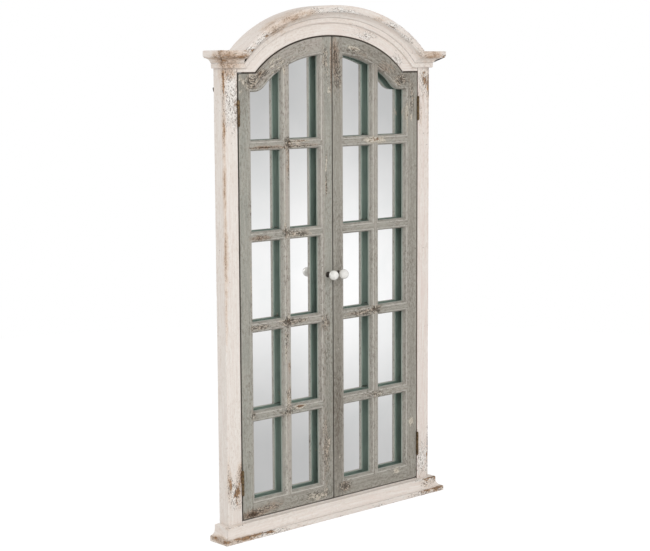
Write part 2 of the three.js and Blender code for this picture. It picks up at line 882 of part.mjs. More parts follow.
for (const [side, way] of [["left", -1], ["right", 1]]) {
  const turn = (piece) => (way > 0 ? piece : piece.mirror([1, 0, 0]));
  const knobPlace = [knobX, 0, doorBottom + knobHeight];
  const knob = (piece) => turn(piece.rotate([90, 0, 0]).translate(knobPlace));
  const hanger = [way * (frameHalf - hangerEdge), frameDepth + fitGap - strapBack, hangerHeight];

  assembly.add(
    mesh("frame_stile_" + side, turn(frameStile()), paints.frame),
    mesh("cornice_front_" + side, turn(corniceFront()), paints.frame),
    mesh("cornice_return_" + side, turn(sideReturn(corniceSection, corniceZ)), paints.frame),
    mesh("base_return_" + side, turn(sideReturn(baseSection, 0)), paints.frame),
    mesh("hanger_strap_" + side, hangerStrap(), paints.steel, hanger),
    mesh("hanger_ring_" + side, hangerRing(), paints.steel, hanger),
    mesh("hanger_screw_" + side, hangerScrew(), paints.steel, hanger),
  );

  const door = new THREE.Group();
  door.add(
    mesh("door_hinge_stile_" + side, turn(hingeStile()), paints.door),
    mesh("door_meeting_stile_" + side, turn(meetingStile()), paints.door),
    mesh("door_top_rail_" + side, turn(topRail()), paints.door),
    mesh("door_bottom_rail_" + side, turn(doorBottomRail()), paints.door),
    mesh("door_muntin_" + side, turn(muntin()), paints.door),
    mesh("strike_plate_" + side, turn(strikePlate()), paints.steel),
    mesh("knob_ball_" + side, knob(knobBall()), paints.ceramic),
    mesh("knob_rose_" + side, knob(knobRose()), paints.steel),
    mesh("knob_screw_" + side, knob(knobScrew()), paints.steel),
  );
  for (let row = 0; row < crossBars; row++)
    door.add(mesh("door_cross_bar_" + (row + 1) + "_" + side, turn(crossBar(row)), paints.door));
  assembly.add(door);

  for (const [level, z] of [["lower", hingeHeights[0]], ["upper", hingeHeights[1]]]) {
    const place = [way * hingePinX, hingePinY, z];
    const name = "hinge_" + level;
    door.add(mesh(name + "_door_leaf_" + side, turn(hingeLeaf(-1)), paints.brass, place));
    assembly.add(
      mesh(name + "_frame_leaf_" + side, turn(hingeLeaf(1)), paints.brass, place),
      mesh(name + "_pin_" + side, hingePin(), paints.brass, place),
    );
  }
}

const group = new THREE.Group();
group.add(assembly);

export default group;
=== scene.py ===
"""Looks of an arched wall mirror with a pair of lattice doors, in metres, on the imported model."""
import math

import bpy
import numpy as np
from mathutils import Matrix


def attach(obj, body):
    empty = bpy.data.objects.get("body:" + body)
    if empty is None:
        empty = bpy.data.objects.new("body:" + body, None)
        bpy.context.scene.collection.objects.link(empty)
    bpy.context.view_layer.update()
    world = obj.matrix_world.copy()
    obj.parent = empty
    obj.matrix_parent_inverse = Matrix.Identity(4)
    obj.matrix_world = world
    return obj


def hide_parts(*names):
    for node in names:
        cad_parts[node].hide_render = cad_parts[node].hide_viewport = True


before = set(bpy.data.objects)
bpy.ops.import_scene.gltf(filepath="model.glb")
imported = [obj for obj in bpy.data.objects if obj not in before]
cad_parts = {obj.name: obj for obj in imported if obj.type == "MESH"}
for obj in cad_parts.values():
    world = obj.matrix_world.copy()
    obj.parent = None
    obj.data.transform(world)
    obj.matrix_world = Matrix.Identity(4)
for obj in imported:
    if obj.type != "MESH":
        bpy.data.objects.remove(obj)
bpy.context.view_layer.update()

# ---- Camera --------------------------------------------------------------------------------------
# The photograph's viewpoint: 4 m away to the left, a little above the middle, looking slightly down.
view_yaw, view_pitch, view_roll = math.radians(42.436), math.radians(7.432), math.radians(-0.288)
view_place = (-2.6724, -2.9112, 1.1283)
focal_share = 1587.6 / 650  # focal length over the picture's width
sensor_width = 36


def stand(thing, right, up, back, place):
    """Puts a camera or lamp at a place, with its own three axes along the directions given."""
    turned = np.eye(4)
    turned[:3, :3] = np.array([right, up, back]).T
    turned[:3, 3] = place
    thing.matrix_world = Matrix(turned.tolist())
    bpy.context.collection.objects.link(thing)


level = math.cos(view_pitch)
heading = np.array([math.sin(view_yaw) * level, math.cos(view_yaw) * level, -math.sin(view_pitch)])
level_right = np.array([math.cos(view_yaw), -math.sin(view_yaw), 0.0])
level_up = np.cross(level_right, heading)
right = math.cos(view_roll) * level_right + math.sin(view_roll) * level_up
up = math.cos(view_roll) * level_up - math.sin(view_roll) * level_right
camera = bpy.data.objects.new("camera", bpy.data.cameras.new("camera"))
camera.data.sensor_fit = "HORIZONTAL"
camera.data.sensor_width = sensor_width
camera.data.lens = sensor_width * focal_share
stand(camera, right, up, -heading, view_place)
bpy.context.scene.camera = camera
bpy.context.scene.view_settings.view_transform = "Standard"


# ---- Studio --------------------------------------------------------------------------------------
# A pale floor that keeps a soft shadow, one large soft lamp from the upper left, and light from all
# round. The mirror faces a backdrop that is lit in the middle and falls to grey above and below.
backdrop_peak, backdrop_grey = 1.07, 0.60
backdrop_rise, backdrop_fall = (0.0, -0.13), (-0.135, -0.245)  # sine of the height at which it brightens and dims
backdrop_middle, backdrop_width, backdrop_dim = 0.674, 0.034, 0.10  # and the same across, to either side
overhead_rise, overhead_glow = (0.25, 0.7), 0.7
surround_light = 0.74
lamp_place, lamp_aim, lamp_size, lamp_power = (-2.7, -3.9, 2.6), (0, 0, 0.6), 2.6, 92
floor_radius, floor_corners, floor_drop, floor_glow, floor_white = 3.0, 96, 0.0005, 0.82, 1.12
smooth, times = {"interpolation_type": "SMOOTHSTEP"}, {"operation": "MULTIPLY"}  # settings that many nodes share


def linear(colour):
    """An sRGB hex colour as linear light: each channel to the power 2.4, with the straight foot near black."""
    channels = np.array([int(colour[i : i + 2], 16) for i in (1, 3, 5)]) / 255
    light = np.where(channels <= 0.04045, channels / 12.92, ((channels + 0.055) / 1.055) ** 2.4)
    return (*light.tolist(), 1.0)


def add(tree, kind, sockets=(), out=0, **settings):
    """Adds one node with its settings and its sockets, each a value or another node's output. Gives one output."""
    node = tree.nodes.new("ShaderNode" + kind)
    for name, value in settings.items():
        setattr(node, name, value)
    for key, value in sockets.items() if isinstance(sockets, dict) else enumerate(sockets):
        if isinstance(value, bpy.types.NodeSocket):
            tree.links.new(value, node.inputs[key])
        else:
            node.inputs[key].default_value = value
    return node.outputs[out] if node.outputs else node


def blank(name):
    """A new material with no nodes yet, and its node tree."""
    material = bpy.data.materials.new(name)
    material.use_nodes = True
    material.node_tree.nodes.clear()
    return material, material.node_tree


studio = bpy.data.worlds.new("studio")
bpy.context.scene.world = studio
studio.use_nodes = True
tree = studio.node_tree
tree.nodes.clear()
height = add(tree, "SeparateXYZ", [add(tree, "TexCoord")], out="Z")
rise = add(tree, "MapRange", [height, *backdrop_rise[::-1], backdrop_peak, backdrop_grey], **smooth)
fall = add(tree, "MapRange", [height, *backdrop_fall[::-1], backdrop_grey, backdrop_peak], **smooth)
backdrop = add(tree, "Math", [rise, fall], operation="MINIMUM")
across = add(tree, "SeparateXYZ", [add(tree, "TexCoord")], out="X")
across = add(tree, "Math", [across, backdrop_middle], operation="SUBTRACT")
across = add(tree, "Math", [across], operation="ABSOLUTE")
across = add(tree, "MapRange", [across, 0.0, backdrop_width, 1.0, 1 - backdrop_dim], **smooth)
backdrop = add(tree, "Math", [backdrop, across], **times)
overhead = add(tree, "MapRange", [height, *overhead_rise, 0.0, overhead_glow], **smooth)
backdrop = add(tree, "Math", [backdrop, overhead], operation="ADD")
glossy = add(tree, "LightPath", out="Is Glossy Ray")
seen = add(tree, "LightPath", out="Is Camera Ray")
strength = add(tree, "Mix", {0: glossy, 2: surround_light, 3: backdrop}, data_type="FLOAT")
strength = add(tree, "Mix", {0: seen, 2: strength, 3: 1.0}, data_type="FLOAT")
sky = add(tree, "Background", {"Color": (1, 1, 1, 1), "Strength": strength})
add(tree, "OutputWorld", [sky])

lamp = bpy.data.objects.new("soft_lamp", bpy.data.lights.new("soft_lamp", "AREA"))
lamp.data.size = lamp_size
lamp.data.energy = lamp_power
away = np.array(lamp_place) - np.array(lamp_aim)
away = away / np.linalg.norm(away)
side = np.cross((0, 0, 1), away)
side = side / np.linalg.norm(side)
stand(lamp, side, np.cross(away, side), away, lamp_place)

turn = np.linspace(0, 2 * np.pi, floor_corners + 1)[:-1]
rim = np.stack([floor_radius * np.cos(turn), floor_radius * np.sin(turn), 0 * turn - floor_drop], 1)
floor_mesh = bpy.data.meshes.new("floor")
floor_mesh.from_pydata(rim.tolist(), [], [list(range(len(rim)))])
floor = bpy.data.objects.new("floor", floor_mesh)
bpy.context.collection.objects.link(floor)
paper, tree = blank("pale_backdrop_paper")
matt = add(tree, "BsdfDiffuse", {"Color": linear("#F2F2F2")})
glow = add(tree, "Emission", {"Strength": floor_white})
clear = add(tree, "BsdfTransparent")
seen = add(tree, "Math", [add(tree, "LightPath", out="Is Camera Ray"), floor_glow], **times)
glossy = add(tree, "LightPath", out="Is Glossy Ray")
lit = add(tree, "MixShader", [seen, matt, glow])
add(tree, "OutputMaterial", [add(tree, "MixShader", [glossy, lit, clear])])
floor_mesh.materials.append(paper)


# ---- Frame stiles --------------------------------------------------------------------------------
# The two uprights are planed pine with a rebate behind for the glass. They are brushed with cream
# chalk paint, which has worn off the arrises and flaked at both ends.
frame_depth, opening_half, frame_half, frame_top = 35, 301.5, 344.5, 1171
rail_top, rebate_deep, rebate_wide, shoulder = 41.5, 26.9, 8, 1118
rebate_foot, rebate_head = (33.5, 33.9), (1127.5, 1127.9)  # just short of and just past each end of the rebate
# How far the grime and painted shade of a gap reach into it, and a distance that means no shaded seam.
stile_arris, gap_shade_reach, no_grimy_shaded_seam = 1.4, 3.0, 9.0
crease = math.radians(38)  # an edge that turns more than this stays sharp
sides = (("left", -1), ("right", 1))

# Where the cream paint is worn: place (across, depth, height), reach each way in mm, then how much it has
# flaked down to the white primer and how much brown stain has come through, or a grey darkening as a minus number.
cream_wear = np.array([
    # left stile: flaked white top, brown just under the cornice, a brown line down its outer arris
    (-322, 0, 1070, 30, 12, 66, 0.72, 0.05), (-316, 0, 1010, 24, 12, 60, 0.4, 0.0),
    (-330, 0, 1119, 28, 14, 14, 0.5, 0.95), (-341, 0, 1080, 5, 7, 46, 0.4, 0.7),
    (-342, 0, 985, 4.5, 7, 60, 0.4, 1.1), (-342, 0, 850, 4.5, 7, 80, 0.35, 1.1),
    (-341, 0, 690, 5.5, 7, 95, 0.4, 1.1), (-342, 0, 540, 4, 5, 70, 0.2, 0.6), (-306, 0, 1040, 5, 8, 40, 0.3, 0.4),
    (-346, 20, 1090, 8, 26, 50, 0.1, 0.2), (-345, 34, 800, 6, 8, 300, 0.0, 0.2),
    # left stile foot: a brown run by the door, a smaller one on the outer arris, white flakes between
    (-305, 0, 158, 9, 8, 36, 0.8, 1.2), (-314, 0, 120, 8, 8, 30, 0.7, 1.1), (-339, 0, 136, 6, 8, 40, 0.85, 1.2),
    (-326, 0, 112, 16, 8, 40, 0.8, 0.15), (-312, 0, 82, 10, 8, 20, 0.4, 0.35), (-343, 0, 190, 3, 5, 40, 0.3, 0.3),
    # right stile: pink and brown marks at the top, flaked speckled foot, nicked outer arris
    (330, 0, 1100, 14, 8, 30, 0.85, 0.4), (322, 0, 1090, 26, 12, 50, 0.55, 0.2),
    (342, 0, 1060, 6, 8, 110, 0.7, 0.55), (312, 0, 1010, 9, 8, 50, 0.5, 0.4), (322, 0, 88, 28, 12, 58, 0.74, 0.08),
    (343, 0, 110, 4, 8, 90, 0.7, 0.5), (305, 0, 170, 5, 8, 60, 0.3, 0.3), (342, 0, 800, 4, 8, 200, 0.2, 0.3),
    # left cornice ear: a brown wash along nosing, cove and band, pale at the outer end
    (-352, -31, 1157, 38, 12, 14, 0.4, 1.4), (-310, -31, 1154, 28, 12, 10, 0.4, 1.0),
    (-348, -18, 1147, 44, 16, 9, 0.5, 1.5), (-332, -8, 1136, 44, 9, 7, 0.45, 1.0),
    (-372, -29, 1165, 18, 12, 7, 0.45, 1.0), (-340, -24, 1154, 60, 18, 16, 0.25, 0.5),
    (-368, 4, 1147, 14, 32, 9, 0.35, 1.0), (-300, -22, 1160, 16, 14, 12, 0.5, 0.25),
    (-376, -12, 1157, 8, 16, 11, 0.35, 0.85), (-362, -6, 1140, 14, 22, 8, 0.45, 0.95),
    # right cornice ear: a brown face, a white chipped end
    (330, -31, 1159, 38, 12, 16, 0.45, 1.2), (368, -31, 1156, 8, 9, 12, 0.95, 0.0),
    (330, -16, 1144, 24, 12, 8, 0.45, 0.5), (372, -10, 1150, 8, 24, 12, 0.7, 0.4),
    # crown from left to right: a chipped run on the nosing's lower arris, ochre, pink, white, specks, pink
    (-300, -31, 1176, 16, 9, 8, 0.7, 0.1), (-281, -31, 1171, 22, 7, 8, 1.0, 0.1),
    (-254, -31, 1188, 22, 7, 9, 1.0, 0.15), (-234, -31, 1204, 22, 7, 9, 1.0, 0.2),
    (-205, -24, 1218, 36, 18, 17, 0.65, 0.85), (-152, -31, 1246, 38, 12, 12, 0.45, 0.85),
    (-190, 0, 1262, 140, 30, 40, 0.0, -0.5), (-196, -14, 1232, 52, 16, 22, 0.3, 0.6),
    (-128, -14, 1254, 52, 16, 18, 0.25, 0.55), (-105, -31, 1260, 30, 12, 8, 0.35, 0.7),
    (-180, -14, 1216, 40, 9, 10, 0.4, 0.35), (-75, -31, 1268, 24, 9, 8, 0.7, 0.15),
    (0, -31, 1270, 50, 9, 9, 0.6, 0.0), (40, -28, 1258, 60, 14, 12, 0.5, 0.1),
    (134, -31, 1250, 30, 12, 11, 0.4, 0.5), (184, -31, 1234, 30, 12, 14, 0.68, 0.05),
    (240, -28, 1204, 40, 14, 22, 0.58, 0.2), (290, -24, 1172, 24, 14, 20, 0.7, 0.45),
    (60, -7, 1226, 34, 8, 14, 0.6, 0.2), (118, 0, 1208, 50, 8, 16, 0.62, 0.2), (226, -2, 1150, 34, 10, 26, 0.6, 0.2),
    # base: brown fillet on the left with white chips, clean middle, right end chipped to wood and black
    (-373, -20, 8, 10, 24, 9, 0.75, 1.3), (-373, 14, 12, 10, 26, 13, 0.75, 1.4), (-342, -31, 8, 28, 10, 9, 0.7, 1.7),
    (-300, -31, 8, 34, 10, 7, 0.8, 1.2), (-250, -31, 8, 32, 9, 6, 0.98, 0.5), (-200, -31, 6, 36, 9, 6, 0.9, 0.4),
    (-360, -14, 38, 16, 14, 4, 0.4, 0.5), (-320, -13, 39, 30, 8, 4, 0.35, 0.4), (-330, -18, 24, 30, 8, 8, 0.25, 0.1),
    (-130, -31, 3, 30, 9, 4, 0.5, 0.3), (0, -31, 3, 14, 9, 4, 0.55, 0.2), (130, -31, 3, 16, 9, 5, 0.6, 0.2),
    (60, -20, 16, 200, 8, 4, 0.12, 0.08), (240, -31, 6, 36, 9, 6, 0.45, 0.3), (300, -31, 8, 36, 9, 10, 0.85, 0.6),
    (352, -31, 9, 28, 10, 10, 0.98, 0.8), (324, -18, 26, 30, 9, 9, 0.85, 0.6), (362, -16, 34, 18, 14, 10, 0.95, 0.5),
    (340, -15, 38, 36, 8, 5, 0.85, 0.25), (372, -12, 22, 8, 24, 14, 0.95, 0.5), (374, 0, 14, 6, 26, 12, 0.6, 0.7),
    (290, -15, 38, 40, 8, 5, 0.4, 0.2),
])


def outline(corners, facets=3, spacing=6.5):
    """A section's outline from its corners (across, depth, rounding), anticlockwise. A rounded corner is the curve
    (1-s)^2 start + 2s(1-s) corner + s^2 end. Straight runs are divided about every `spacing` mm and close to each end.
    Gives the points, their inward directions, and each one's distance round the outline from the
    nearest outer arris (a turn of over 25 degrees) and from the nearest inner corner (over 18)."""
    corners = np.array(corners, float)
    point, rounding = corners[:, :2], corners[:, 2:]
    back = np.roll(point, 1, 0) - point
    on = np.roll(point, -1, 0) - point
    back /= np.linalg.norm(back, axis=1, keepdims=True)
    on /= np.linalg.norm(on, axis=1, keepdims=True)
    enter, leave = point + back * rounding, point + on * rounding
    share = np.linspace(0, 1, facets + 1)[:, None]
    first_cut, pieces = 0.8, []
    for i in range(len(point)):
        bend = (1 - share) ** 2 * enter[i] + 2 * share * (1 - share) * point[i] + share**2 * leave[i]
        pieces.append(bend if rounding[i] > 0 else point[i : i + 1])
        gap = enter[(i + 1) % len(point)] - leave[i]
        length = np.hypot(*gap)
        if length > 3 * first_cut:
            cuts = np.linspace(first_cut / length, 1 - first_cut / length, max(2, round(length / spacing) + 1))
            pieces.append(leave[i] + gap * cuts[:, None])
    points = np.concatenate(pieces)
    turn = np.degrees(np.arcsin(np.clip(on[:, 0] * back[:, 1] - on[:, 1] * back[:, 0], -1, 1)))
    step = np.linalg.norm(np.roll(points, -1, 0) - points, axis=1)
    run = np.concatenate([[0], np.cumsum(step)])
    tangent = np.roll(points, -1, 0) - np.roll(points, 1, 0)
    inward = np.stack([-tangent[:, 1], tangent[:, 0]], 1) / np.linalg.norm(tangent, axis=1, keepdims=True)
    nearest = []
    for sharp in (turn > 25, turn < -18):
        marks = run[np.argmin(np.linalg.norm(points[:, None] - point[None, sharp], axis=2), axis=0)]
        gap = np.abs(run[:-1, None] - marks[None])
        nearest.append(np.minimum(gap, run[-1] - gap).min(1, initial=99.0))
    return {"points": points, "inward": inward, "run": run, "arris": nearest[0], "hollow": nearest[1]}


def gap_shade(off, depth, deep):
    """Distance from the dark mouth of a gap: how far off the gap a point is, and how far past `deep` mm into it."""
    return np.hypot(off, np.clip(depth - deep, 0, None))


def lumps(u, v, long, wide, seed):
    """Smooth noise from -1 to 1: a fixed random height at each corner of a long by wide lattice, blended between."""
    p, q = u / long + 37.7 * seed, v / wide + 11.3 * seed
    i, j = np.floor(p).astype(np.int64), np.floor(q).astype(np.int64)
    s, t = p - i, q - j
    s, t = s * s * (3 - 2 * s), t * t * (3 - 2 * t)

    def corner(di, dj):
        """The fixed random height of a lattice corner, mixed from its place and the seed."""
        mixed = ((i + di) * 73856093) ^ ((j + dj) * 19349663) ^ (seed * 83492791)
        mixed = (mixed * 1103515245 + 12345) & 0x7FFFFFFF
        mixed = ((mixed >> 7) ^ mixed) * 48271 % 2147483647
        return mixed / 1073741823.5 - 1

    near = corner(0, 0) * (1 - s) + corner(1, 0) * s
    far = corner(0, 1) * (1 - s) + corner(1, 1) * s
    return near * (1 - t) + far * t


nick_reach, rubbed, nick_limit = 1.6, 0.10, 0.45  # mm from an arris, mm lost by rubbing, noise where a nick starts


def worn(section, along, seed, ends=(0.6, 0.6), nick=1.0):
    """The section at each place along the piece, moved inwards by hand wear: a slow wobble, nicks where noise is high
    near an arris, and a quarter round at each end."""
    u, v = along[:, None], section["run"][None, :-1]
    near = np.exp(-section["arris"][None] / nick_reach)
    inset = rubbed + rubbed * lumps(u, v, 70, 25, seed)
    high = lumps(u, v, 9, 6, seed + 1) + 0.5 * lumps(u, v, 40, 30, seed + 2) - nick_limit
    inset = inset + nick * near * np.clip(high, 0, 1)
    for gap, rounding in ((along - along[0], ends[0]), (along[-1] - along, ends[1])):
        bend = np.clip(rounding - gap, 0, None)
        inset = inset + (rounding - np.sqrt(np.clip(rounding**2 - bend**2, 0, None)))[:, None]
    return section["points"][None] + section["inward"][None] * inset[:, :, None]


def stations(start, end, step=5.0, extra=()):
    """Places along a piece: evenly spaced, with closer ones at both ends and any extra ones."""
    way = 1 if end > start else -1
    even = np.linspace(start, end, max(3, round(abs(end - start) / step) + 1))
    close = [start + way * d for d in (0.15, 0.4, 0.8)] + [end - way * d for d in (0.15, 0.4, 0.8)]
    return np.unique(np.concatenate([even, close, extra]))


def skin(name, x, depth, z, along, section, places, tone=0.0, hue=0.0, butted=False):
    """The closed surface of a grid of points in mm, stations by outline points, with a cap at each end. It carries the
    map "grain" (length by girth in metres), the distances to arris, hollow and seam, where grime and painted shade
    darken a gap, the piece's own tone and hue, and the wear, stain and darkening: one minus the product of (1 - share
    times a bell curve round each worn place). A butted piece has such a grimy, shaded seam at its ends too."""
    grid = np.stack(np.broadcast_arrays(x, depth, z), -1).astype(float)
    count, ring = grid.shape[:2]
    points = grid.reshape(-1, 3)
    k, i = np.arange(count - 1)[:, None] * ring, np.arange(ring)[None]
    j = (i + 1) % ring
    quads = np.stack(np.broadcast_arrays(k + i, k + j, k + ring + j, k + ring + i), -1).reshape(-1, 4)
    first, last = np.arange(ring)[::-1], (count - 1) * ring + np.arange(ring)
    a, b, c, d = (points[quads[:, n]] for n in range(4))
    heart = points.mean(0)
    flux = (np.cross(b - a, c - a) * (a - heart)).sum() + (np.cross(c - a, d - a) * (a - heart)).sum()
    flipped = flux < 0
    faces = (quads[:, ::-1] if flipped else quads).tolist()
    caps = [(first[::-1] if flipped else first), (last[::-1] if flipped else last)]
    made = bpy.data.meshes.new(name)
    placed = (points - (0, frame_depth / 2, 0)) * 0.001
    made.from_pydata(placed.tolist(), [], faces + [cap.tolist() for cap in caps])

    step = np.linalg.norm(np.roll(grid, -1, 1) - grid, axis=2)
    girth = np.concatenate([np.zeros((count, 1)), np.cumsum(step, 1)], 1)
    length = np.broadcast_to(along[:, None], (count, ring))
    near_girth, far_girth = girth[:, :ring], girth[:, 1 : ring + 1]
    corner_u = np.stack([length[:-1], length[:-1], length[1:], length[1:]], -1).reshape(-1, 4)
    corner_v = np.stack([near_girth[:-1], far_girth[:-1], far_girth[1:], near_girth[1:]], -1).reshape(-1, 4)
    if flipped:
        corner_u, corner_v = corner_u[:, ::-1], corner_v[:, ::-1]
    ends = [section["points"][cap % ring] for cap in caps]
    flat_u, flat_v = (
        np.concatenate([corner.ravel()] + [end[:, n] for end in ends]) for n, corner in enumerate((corner_u, corner_v))
    )
    grain = made.uv_layers.new(name="grain")
    grain.data.foreach_set("uv", (np.stack([flat_u, flat_v], 1) * 0.001).astype(np.float32).ravel())

    near = np.exp(-(((points[:, None] - places[None, :, 0:3]) / places[None, :, 3:6]) ** 2).sum(2))
    shares = (places[:, 6], np.clip(places[:, 7], 0, None), np.clip(-places[:, 7], 0, None))
    wear, stain, darkening = (1 - np.prod(1 - np.minimum(share, 0.98) * near, axis=1) for share in shares)
    grimy_shaded_seam = section.get("grimy_shaded_seam", np.full(ring, no_grimy_shaded_seam))[None]
    if butted:
        grimy_shaded_seam = np.minimum(grimy_shaded_seam, np.minimum(along - along[0], along[-1] - along)[:, None])
    facts = {"arris": section["arris"][None], "hollow": section["hollow"][None], "grimy_shaded_seam": grimy_shaded_seam, "tone": tone, "hue": hue}
    facts = {fact: np.broadcast_to(values, (count, ring)).ravel() for fact, values in facts.items()}
    for fact, values in {**facts, "wear": wear, "stain": stain, "darkening": darkening}.items():
        made.attributes.new(fact, "FLOAT", "POINT").data.foreach_set("value", values.astype(np.float32))
    made.shade_smooth()
    made.set_sharp_from_angle(angle=crease)
    piece = bpy.data.objects.new(name, made)
    bpy.context.collection.objects.link(piece)
    return piece


def finish(piece, material, body, slot, *nodes):
    """Gives a piece its finish and says which body carries it and which solids it stands for."""
    piece.data.materials.append(material)
    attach(piece, body)
    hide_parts(*nodes)


in_colour = {"data_type": "RGBA", "out": 2}
minus, times_plus = {"operation": "SUBTRACT"}, {"operation": "MULTIPLY_ADD"}


def wood_and_paint(name, coats, primer, pine, stains, grime_and_shade, behind, mottle_and_highlight, chip, arris_share, roughness):
    """Old brushed paint over pine. The coat is clouded, streaked and mottled. Where wear, arris and flake noise add up
    past a limit it is lost, first to the primer and then to bare wood, which leaves a step in the bump. A brown stain
    lies over it, dark flecks follow the wear, and grime with painted shade fills hollows and seams. Past a depth
    another colour takes over.
    coats: the paint, its clouds, a warmer and a cooler shade by the piece's hue, brush streaks, pale grit (also the
    painted highlight), dusky grit (also the darkening).
    grime_and_shade: its share in hollows, its reach out of a seam in mm, its colour; grime, with painted shade in
    hollows and gaps.
    behind: two streaked colours, the depths in mm where they start and are full, a colour for their clouds, and how
    far wear shows through them.
    mottle_and_highlight: the share of pale grit, of dusky grit where the paint is sound and where it is worn, and how
    much paler the paint is past its front face and at an arris, partly rubbed and partly a painted highlight.
    chip: how far flake noise and cloud noise count, the limits for primer and for pine, the share of dark flecks, and
    how much of that is left where there is no stain."""
    grime_and_shade_share, grimy_shaded_seam_reach, grime_and_shade_colour = grime_and_shade
    rear_start, rear_full, rear_cloud, wear_through = behind[2:]
    pale_share, dusky_sound, dusky_worn, rubbed_and_lit_inside, rubbed_and_lit_arris = mottle_and_highlight
    flake_weight, cloud_weight, primer_limit, pine_limit, fleck_share, unstained = chip
    chip_edge, face, past_face = 0.06, -0.0171, -0.0155  # and the depths in metres of the front face and past it
    material, tree = blank(name)
    arris, hollow, grimy_shaded_seam, wear, stain, darkening, tone, hue = (
        add(tree, "Attribute", attribute_name=fact, out="Fac")
        for fact in ("arris", "hollow", "grimy_shaded_seam", "wear", "stain", "darkening", "tone", "hue")
    )
    shift = add(tree, "CombineXYZ", [0.0, 0.0, tone])
    grain = add(tree, "VectorMath", [add(tree, "UVMap", uv_map="grain"), shift], operation="ADD")
    along = add(tree, "Mapping", {"Vector": grain, "Scale": (0.45, 1, 1)})
    fibre = add(tree, "Mapping", {"Vector": grain, "Scale": (0.06, 1, 1)})
    # Each pattern: the map it lies on, its size in mm, then detail, roughness and distortion.
    clouds, flakes, spots, grit, streaks, marks = (
        add(tree, "TexNoise", {
            "Vector": on, "Scale": 1000 / size, "Detail": fine, "Roughness": rough, "Distortion": bent,
        })
        for on, size, fine, rough, bent in (
            (along, 60, 3.0, 0.55, 0.0), (along, 9, 6.0, 0.74, 0.0), (along, 5, 3.0, 0.75, 0.6),
            (grain, 3, 3.0, 0.7, 0.0), (fibre, 5, 4.0, 0.65, 0.0), (along, 2.6, 2.0, 0.6, 0.4),
        )
    )

    edge = add(tree, "MapRange", [arris, 0.0, 4.0, 1.0, 0.0], **smooth)
    edge = add(tree, "Math", [edge, add(tree, "MapRange", [clouds, 0.40, 0.62, 0.0, 1.0])], **times)
    loss = add(tree, "Math", [edge, arris_share, wear], **times_plus)
    for pattern, weight in ((flakes, flake_weight), (clouds, cloud_weight)):
        loss = add(tree, "Math", [add(tree, "Math", [pattern, 0.5], **minus), weight, loss], **times_plus)
    to_primer = add(tree, "MapRange", [loss, primer_limit, primer_limit + chip_edge, 0.0, 1.0])
    bared = add(tree, "Math", [stain, 0.3, loss], **times_plus)
    to_pine = add(tree, "MapRange", [bared, pine_limit, pine_limit + chip_edge, 0.0, 1.0])

    # The stain soaks unevenly: thin and ochre at its rim, browner where it gathers.
    soak = stain
    for pattern, middle, weight in ((flakes, 0.52, 1.7), (grit, 0.5, 0.9)):
        soak = add(tree, "Math", [add(tree, "Math", [pattern, middle], **minus), weight, soak], **times_plus)
    soak = add(tree, "MapRange", [soak, 0.12, 0.95, 0.0, 0.86])
    soak = add(tree, "Math", [soak, add(tree, "MapRange", [stain, 0.0, 0.3, 0.0, 1.0])], **times)

    # Two shades each of primer, bare pine, stain and the rear.
    under, brown, wash, rear = (
        add(tree, "Mix", {
            0: add(tree, "MapRange", [by, low, high, 0.0, 1.0]), 6: linear(one), 7: linear(two),
        }, **in_colour)
        for by, low, high, (one, two) in (
            (grit, 0.4, 0.6, primer), (streaks, 0.42, 0.6, pine),
            (soak, 0.3, 0.9, stains), (streaks, 0.35, 0.65, behind[:2]),
        )
    )

    # The coat, from its clouds to its darkening, and what shows where it is lost or stained.
    cloudy = add(tree, "MapRange", [clouds, 0.38, 0.62, 0.0, 1.0])
    cooler = add(tree, "Math", [hue, -1.0], **times)
    brushed = add(tree, "MapRange", [streaks, 0.40, 0.60, 0.0, 0.85])
    depth = add(tree, "SeparateXYZ", [add(tree, "TexCoord", out="Object")], out="Y")
    # Paler past the front face and at an arris: partly rubbed paint and partly a painted highlight on side faces,
    # mouldings and arrises.
    pale_and_lit = add(tree, "MapRange", [depth, face, past_face, 0.0, rubbed_and_lit_inside])
    pale_and_lit = add(tree, "Math", [pale_and_lit, add(tree, "MapRange", [arris, 0.0, 3.0, rubbed_and_lit_arris, 0.0])], operation="ADD")
    pale_and_lit = add(tree, "Math", [add(tree, "MapRange", [grit, 0.42, 0.66, 0.0, pale_share]), pale_and_lit], operation="ADD")
    dusky = add(tree, "MapRange", [spots, 0.46, 0.66, 0.0, 1.0])
    dusky = add(tree, "Math", [dusky, add(tree, "MapRange", [clouds, 0.38, 0.62, 1.3, 0.3])], **times)
    dusky = add(tree, "Math", [dusky, add(tree, "MapRange", [wear, 0.0, 0.5, dusky_sound, dusky_worn])], **times)
    # A grey darkening where a worn place has a minus number for its stain.
    darkened = add(tree, "Math", [darkening, add(tree, "MapRange", [spots, 0.3, 0.6, 0.6, 1.2])], **times)
    colour, *shades = (linear(coat) for coat in coats)
    layers = [*zip((cloudy, hue, cooler, brushed, pale_and_lit, dusky), shades), (darkened, shades[-1])]
    for share, shade in layers + [(to_primer, under), (to_pine, brown), (soak, wash)]:
        colour = add(tree, "Mix", {0: share, 6: colour, 7: shade}, **in_colour)

    # Each chip has a dark, broken rim where the paint has lifted.
    rim = add(tree, "Math", [add(tree, "Math", [loss, primer_limit + chip_edge / 2], **minus)], operation="ABSOLUTE")
    rim = add(tree, "MapRange", [rim, 0.0, chip_edge, 0.9, 0.0])
    rim = add(tree, "Math", [rim, add(tree, "MapRange", [grit, 0.44, 0.60, 0.0, 1.0])], **times)
    rim = add(tree, "Math", [rim, add(tree, "MapRange", [wear, 0.1, 0.4, 0.25, 1.0])], **times)
